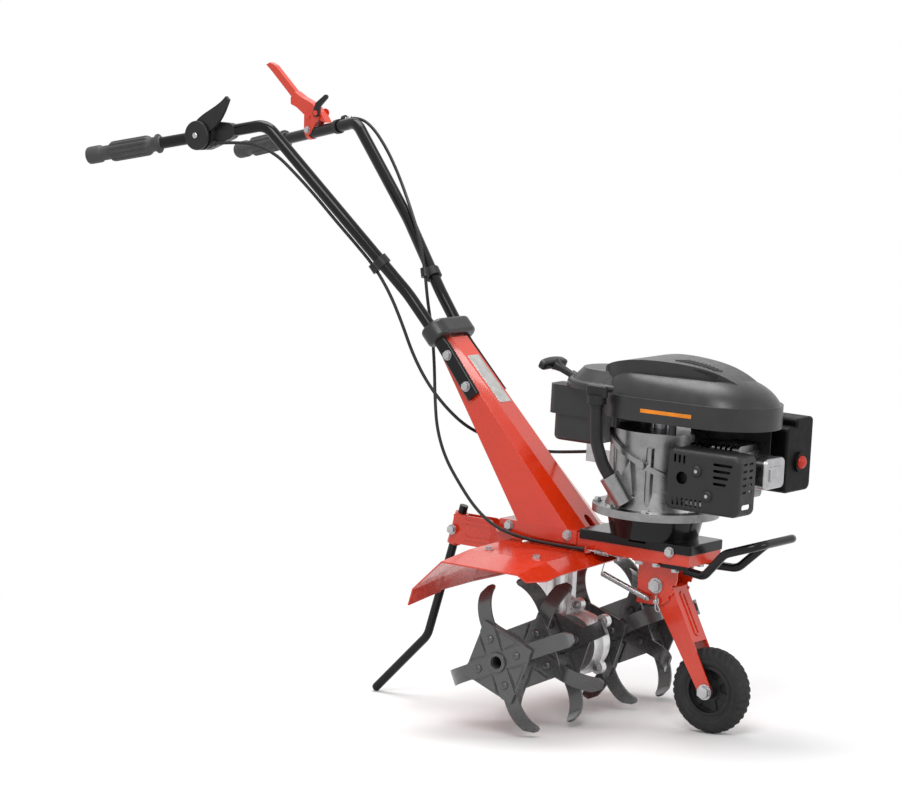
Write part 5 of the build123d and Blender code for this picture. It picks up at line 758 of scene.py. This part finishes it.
# %% [markdown]
# A plain stripe runs along the right flank of the hood.  A mask in the hood's material could draw
# it, but a thin film of its own is easier to place and has a clean edge.  The flank is straight, so
# four corners are enough.

# %% Stripe
STRIPE_REAR, STRIPE_FRONT, STRIPE_LOW, STRIPE_HIGH = 164, 262, 444.0, 450.5
FLANK_REAR, FLANK_FRONT, REAR_HALF, FRONT_HALF = 145, 274, 106, 98
FILM_PROUD, FILM_THICK = 0.25, 0.6


def stripe_sheet():
    """Stripe: a thin band along the straight right flank of the hood, between two heights."""
    along = np.array([STRIPE_REAR, STRIPE_FRONT])
    narrowing = (along - FLANK_REAR) * (REAR_HALF - FRONT_HALF) / (FLANK_FRONT - FLANK_REAR)
    rear, front = zip(along, -REAR_HALF + narrowing - FILM_PROUD)
    corners = [
        (*rear, STRIPE_LOW), (*front, STRIPE_LOW), (*front, STRIPE_HIGH), (*rear, STRIPE_HIGH)]
    return slab(corners, (0, FILM_THICK, 0))


add_piece("plain_stripe", [stripe_sheet()], stripe_film, "frame")

# %% [markdown]
# Between the slots of the hood stand low slanted louvres, shorter toward the nose.  They could be
# cut with the slots; a wire laid along the crown's curve and half sunk in it shows the same round
# back for less.

# %% Louvres
LOUVRES, LOUVRE_PITCH, LOUVRE_SLANT, LOUVRE_RADIUS = 9, 9.0, np.radians(62), 1.9
LOUVRE_HALF, LOUVRE_SHORTER = 15.5, 0.75
LOUVRE_AHEAD, LOUVRE_LEFT, LOUVRE_DRIFT = 191.5, -15.7, 0.6
louvres = []
for count in range(LOUVRES):
    half = LOUVRE_HALF - LOUVRE_SHORTER * count
    along = np.linspace(-half, half, 9)
    ahead = LOUVRE_AHEAD + LOUVRE_PITCH * count + along * np.cos(LOUVRE_SLANT)
    left = LOUVRE_LEFT - LOUVRE_DRIFT * count + along * np.sin(LOUVRE_SLANT)
    louvre_path = np.column_stack([ahead, left, np.polyval(CROWN, ahead)])
    louvres.append(wire(louvre_path, LOUVRE_RADIUS, (0, 0, 1)))
add_piece("hood_louvres", louvres, hood_plastic, "frame")

# %% [markdown]
# A dark sheet on the cylinder head shuts the space below the hood, and the two screws of the
# muffler guard sit in pressed cups that leave only their middles bare.  One bent line for the sheet
# and one turned outline for the cups are enough, because both are thin metal.

# %% Air baffle and screw cups
BAFFLE_MIDDLE, BAFFLE_HALF, BAFFLE_LEFT, BAFFLE_BEND = 266, 80, 50, 16


def baffle_sheet(low=374.0, high=432.0, thick=1.2, steps=17):
    """Baffle: an upright sheet along the far side of the cylinder head, bent in at both ends."""
    ahead = np.linspace(BAFFLE_MIDDLE - BAFFLE_HALF, BAFFLE_MIDDLE + BAFFLE_HALF, steps)
    left = BAFFLE_LEFT - BAFFLE_BEND * ((ahead - BAFFLE_MIDDLE) / BAFFLE_HALF) ** 2
    loop = ((left, low), (left, high), (left + thick, high), (left + thick, low))
    rows = [np.column_stack([ahead, side, np.full(steps, up)]) for side, up in loop]
    return capped(np.stack(rows, axis=1))


add_piece("air_baffle", [baffle_sheet()], guard_coat, "frame")

SCREW_CUP = [
    (-0.5, 10.4), (0.5, 10.2), (2.4, 9.2), (4.2, 7.6), (4.9, 6.0), (4.9, 4.0), (4.4, 3.1),
    (4.3, 4.8), (-0.5, 5.9), (-0.5, 10.4),
]
GUARD_FACE, GUARD_SCREWS = -118, ((291, 359), (314, 319))
cups = []
for ahead, above in GUARD_SCREWS:
    cups.append(turned(SCREW_CUP, (ahead, GUARD_FACE, above), (0, -1, 0), 32))
add_piece("screw_cups", cups, guard_coat, "frame")

# %% [markdown]
# The starter handle is a moulded T: a chunky bar with softly squared section that droops a little
# at its ends, on a tapered stem, with the rope that runs into the hood.  A subdivided cube would
# take its section from the smoothing; a formula says outright how square it is.

# %% Starter handle
ROPE_EXIT, ROPE_WAY = np.array((-38, 0, 474.0)), unit((-0.92, 0, 0.39))
BAR_OUT, BAR_DROOP, BAR_TAPER = 52, 2.6, 0.16


def handle_bar(half=40.0, deep=8.6, tall=9.4):
    """Bar: a squared circle carried across the machine, smaller and lower toward both ends."""
    across = half * np.sin(np.linspace(-np.pi / 2, np.pi / 2, 33))
    size = 1 - BAR_TAPER * (across / half) ** 2
    size = size * np.clip((1 - (np.abs(across) / half) ** 14), 0, 1) ** 0.5
    turn = np.linspace(0, 2 * np.pi, 40, endpoint=False)
    square = (np.abs(np.cos(turn)) ** 4 + np.abs(np.sin(turn)) ** 4) ** -0.25
    out = np.cross(ROPE_WAY, (0, 1, 0))
    ring = (square * np.cos(turn))[:, None] * deep * ROPE_WAY
    ring = ring + (square * np.sin(turn))[:, None] * tall * out
    droop = (across[:, None] / half) ** 2 * np.array((0, 0, BAR_DROOP))
    middle = ROPE_EXIT + ROPE_WAY * BAR_OUT - droop
    middle = middle + across[:, None] * np.array((0, 1, 0))
    return middle[:, None] + size[:, None, None] * ring


STEM = [(8.3, 0), (8.3, 5.2), (9.2, 6.2), (14, 6.4), (30, 7.0), (40, 9.0), (47, 11.5), (47, 0)]
ROPE = [(-108, 0), (-108, 2.2), (22, 2.2), (22, 0)]
stem, rope = turned(STEM, ROPE_EXIT, ROPE_WAY, 32), turned(ROPE, ROPE_EXIT, ROPE_WAY, 16)
starter = [handle_bar(), stem, rope]
add_piece(
    "starter_handle", starter, smooth_plastic, "recoil_handle", "recoil_handle")

# %% [markdown]
# From the end of the clutch cable a bare wire with a short spring hooks on to the pin of the
# belt tensioner.  It crosses the tensioner's joint, so it rides on neither body and stays where it
# is.
# Riding on either alone would tear it from the other when the clutch is squeezed.

# %% Tensioner hook
HOOK_KEYS = [
    (44, -64, 181.5), (52, -62, 181), (60, -59.5, 180), (84, -50, 177), (92, -48, 176),
    (98, -48.2, 175.5), (104.6, -45, 175), (105, -39.5, 175), (100, -36.6, 175),
    (95.6, -38.6, 175),
]
HOOK_WIRE, COIL_WIRE, COIL_TURNS, COIL_RADIUS, COIL_STEPS = 1.1, 0.85, 11, 3.4, 200
coil_path, coil_axis = wound(
    HOOK_KEYS[2], HOOK_KEYS[3], COIL_TURNS, COIL_RADIUS, COIL_STEPS)[:2]
bare_wire = wire(eased(HOOK_KEYS), HOOK_WIRE, (0, 0, 1))
coil = wire(coil_path, COIL_WIRE, coil_axis, sides=8)
tensioner_hook = add_piece("tensioner_hook", [bare_wire, coil], zinc_plate, None)
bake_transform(tensioner_hook)

# %% [markdown]
# The two control cables leave the levers, run down the handle tubes through their clips and hang
# in one easy bow past the column.  A simulated rope would settle anew on each run, so both follow
# the places of the CAD route.

# %% Routes of the cables
CLUTCH_ROUTE = [
    (-678, 168.8, 882.7), (-643, 152, 886), (-608, 146, 868.5), (-571, 138, 834),
    (-537, 126.5, 796), (-507, 113, 760), (-467, 86, 720), (-431, 62, 678), (-402.5, 42.5, 622),
    (-390, 37, 571), (-381, 45, 513), (-367, 37, 454), (-351, 21, 396), (-328, -1, 344),
    (-292, -22, 297), (-248, -37, 257), (-200, -54, 221), (-145, -67, 194), (-84, -68, 184),
    (-22, -66, 181), (40, -64, 181.5),
]
THROTTLE_ROUTE = [
    (-728, -180, 838), (-677, -157, 846), (-630, -133, 829), (-588, -121, 793), (-548, -110, 755),
    (-509, -99, 714), (-471, -85, 674), (-435, -70, 633), (-401, -67, 588), (-374, -64, 538),
    (-350, -61, 486), (-320, -56, 438), (-282, -50, 397), (-250, -23, 360), (-225, 22, 338),
    (-188, 61, 322), (-132, 66, 321), (-78, 50, 329), (-25.2, 36.3, 338),
]
print("points", len(CLUTCH_ROUTE), "and", len(THROTTLE_ROUTE))

# %% [markdown]
# A NURBS line with these places as its control points bends as a real sheath does, because it never
# turns a corner.  A round section carried along it makes the cable.  The clutch cable has a
# threaded adjuster and a bare end at the lever, and a ferrule at the chassis.

# %% Cables and their fittings
CABLE_THICK = 0.006


def hang_cable(name, route, replaced):
    """Cable: a round section carried along the NURBS line that has the route as control points."""
    places = spot(route)
    curve = bpy.data.curves.new(name, "CURVE")
    curve.dimensions = "3D"
    curve.bevel_depth = CABLE_THICK / 2
    curve.bevel_resolution = 5
    curve.use_fill_caps = True
    spline = curve.splines.new("NURBS")
    spline.points.add(len(places) - 1)
    spline.points.foreach_set("co", np.column_stack([places, np.ones(len(places))]).ravel())
    spline.order_u = 3
    spline.use_endpoint_u = True
    spline.resolution_u = 8
    cable = bpy.data.objects.new(name, curve)
    bpy.context.collection.objects.link(cable)
    curve.materials.append(sheath)
    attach(cable, "frame")
    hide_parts(replaced)


ADJUSTER_WAY = (-62, 4, -16.5)
ADJUSTER = [
    (0, 0), (0, 3.6), (0.6, 4.6), (1.2, 5.0), (4.6, 5.0), (5.0, 4.2), (12, 4.2), (12.4, 5.0),
    (21.4, 5.0), (22, 4.4), (22.4, 3.4), (26, 3.4), (26.3, 4.6), (30, 4.6), (30.3, 3.2),
    (39.4, 3.2), (40, 2.6), (40, 0),
]
CABLE_END = [(39, 0), (39, 1.2), (43, 1.2), (43.4, 2.2), (44, 2.6), (52.4, 2.6), (53, 2.0), (53, 0)]
FERRULE = [(-14, 0), (-14, 3.3), (-13, 3.9), (-2, 4.0), (5.2, 4.0), (5.8, 3.4), (5.8, 0)]
adjuster_form = turned(ADJUSTER, CLUTCH_ROUTE[0], ADJUSTER_WAY)
end_form = turned(CABLE_END, CLUTCH_ROUTE[0], ADJUSTER_WAY, 28)
ferrule_form = turned(FERRULE, CLUTCH_ROUTE[-1], (1, 0, 0), 28)
adjuster = add_piece("cable_adjuster", [adjuster_form], zinc_plate, "frame")
cable_end = add_piece("cable_end", [end_form], bronze, "frame")
ferrule = add_piece("cable_ferrule", [ferrule_form], sheath, "frame")
hang_cable("clutch_sheath", CLUTCH_ROUTE, "clutch_cable")
hang_cable("throttle_sheath", THROTTLE_ROUTE, "throttle_cable")

# %% [markdown]
# The sky of the studio is white to the camera and to reflections, while the light that it throws on
# the machine stays at a plain level.  One strength for both would either grey the background or
# wash out the dark plastic, so the sky asks what kind of ray it answers.


# %% Sky
def seen_white(nodes):
    """One where a ray comes from the camera, a mirror or glass, nought elsewhere."""
    path = nodes.new("ShaderNodeLightPath")
    first = nodes.new("ShaderNodeMath")
    first.operation = "MAXIMUM"
    second = nodes.new("ShaderNodeMath")
    second.operation = "MAXIMUM"
    links = first.id_data.links
    links.new(path.outputs["Is Camera Ray"], first.inputs[0])
    links.new(path.outputs["Is Glossy Ray"], first.inputs[1])
    links.new(first.outputs[0], second.inputs[0])
    links.new(path.outputs["Is Transmission Ray"], second.inputs[1])
    return second.outputs[0]


LIT_LEVEL, SEEN_LEVEL = 0.42, 1.0
world = bpy.data.worlds.new("studio_sky")
world.use_nodes = True
bpy.context.scene.world = world
sky_nodes, sky_links = world.node_tree.nodes, world.node_tree.links
sky = sky_nodes["Background"]
sky.inputs["Color"].default_value = (1, 1, 1, 1)
sky_level = sky_nodes.new("ShaderNodeMapRange")
sky_level.inputs["To Min"].default_value = LIT_LEVEL
sky_level.inputs["To Max"].default_value = SEEN_LEVEL
sky_links.new(seen_white(sky_nodes), sky_level.inputs["Value"])
sky_links.new(sky_level.outputs["Result"], sky.inputs["Strength"])
print("sky lights with", LIT_LEVEL, "and shows", SEEN_LEVEL)

# %% [markdown]
# The floor is one wide pale sheet.  An edge or a horizon would show where it ends, so away from the
# machine it fades into the same white as the sky, by a smooth step of the distance from the middle.

# %% Floor
FLOOR_REACH, FLOOR_BELOW = 14.0, 0.0005
FADE_FROM, FADE_TO = 0.7, 1.6
floor_mesh = bpy.data.meshes.new("studio_floor")
corners = np.array([(-1, -1, 0), (1, -1, 0), (1, 1, 0), (-1, 1, 0)]) * FLOOR_REACH
corners[:, 2] = -FLOOR_BELOW
floor_mesh.from_pydata(corners.tolist(), [], [(0, 1, 2, 3)])
floor = bpy.data.objects.new("studio_floor", floor_mesh)
bpy.context.collection.objects.link(floor)

floor_finish = plain_finish("floor_finish", (0.92, 0.92, 0.92), 0.0, 0.9)
floor_mesh.materials.append(floor_finish)
floor_nodes, floor_links = floor_finish.node_tree.nodes, floor_finish.node_tree.links
place = floor_nodes.new("ShaderNodeTexCoord")
reach = floor_nodes.new("ShaderNodeVectorMath")
reach.operation = "LENGTH"
fade = floor_nodes.new("ShaderNodeMapRange")
fade.inputs["From Min"].default_value = FADE_FROM
fade.inputs["From Max"].default_value = FADE_TO
fade.interpolation_type = "SMOOTHSTEP"
white = floor_nodes.new("ShaderNodeEmission")
white.inputs["Color"].default_value = (1, 1, 1, 1)
both = floor_nodes.new("ShaderNodeMath")
both.operation = "MULTIPLY"
mixed = floor_nodes.new("ShaderNodeMixShader")
floor_links.new(place.outputs["Object"], reach.inputs[0])
floor_links.new(reach.outputs["Value"], fade.inputs["Value"])
floor_links.new(fade.outputs["Result"], both.inputs[0])
floor_links.new(seen_white(floor_nodes), both.inputs[1])
floor_links.new(both.outputs[0], mixed.inputs["Fac"])
floor_links.new(floor_nodes["Principled BSDF"].outputs[0], mixed.inputs[1])
floor_links.new(white.outputs[0], mixed.inputs[2])
floor_links.new(mixed.outputs[0], floor_nodes["Material Output"].inputs["Surface"])
print("floor reaches", FLOOR_REACH)

# %% [markdown]
# Three soft boxes light the machine: a key at the front right, one above and a weak one in front.
# A sun would throw hard shadows, and those in the photograph are soft.


# %% Lamps
def soft_lamp(name, place, target, size, watts):
    """Square soft box at a place, looking at a target."""
    lamp = bpy.data.lights.new(name, "AREA")
    lamp.size = size
    lamp.energy = watts
    box = bpy.data.objects.new(name, lamp)
    bpy.context.collection.objects.link(box)
    way = np.array(target, float) - np.array(place, float)
    flat = np.hypot(way[0], way[1])
    box.location = place
    box.rotation_euler = (np.arctan2(flat, -way[2]), 0, np.arctan2(way[1], way[0]) - np.pi / 2)
    print(name, watts, "watts")


MIDDLE = (0.0, 0.0, 0.45)
soft_lamp("key_box", (1.6, -2.6, 3.2), MIDDLE, size=1.8, watts=78)
soft_lamp("top_box", (-0.4, 0.4, 3.6), MIDDLE, size=2.0, watts=84)
soft_lamp("front_box", (3.4, 0.6, 1.5), MIDDLE, size=1.4, watts=22)

# %% [markdown]
# The camera stands where the photograph's did, low in front of the right side, and looks from far
# away through a long lens.  Its place and turn were worked out from the symmetric handle, the axle
# and the chassis, which is closer than placing it by eye.

# %% Camera
lens = bpy.data.cameras.new("long_lens")
lens.lens = 140.8
lens.sensor_width = 36
lens.clip_end = 60
eye = bpy.data.objects.new("long_lens", lens)
bpy.context.collection.objects.link(eye)
eye.location = (3.3357 + AXLE_AHEAD, -5.2582, 1.1824)
eye.rotation_euler = np.radians((84.37, 0, 34.49))
bpy.context.scene.camera = eye
bpy.context.scene.view_settings.view_transform = "Standard"
print("camera", [round(v, 3) for v in eye.location])
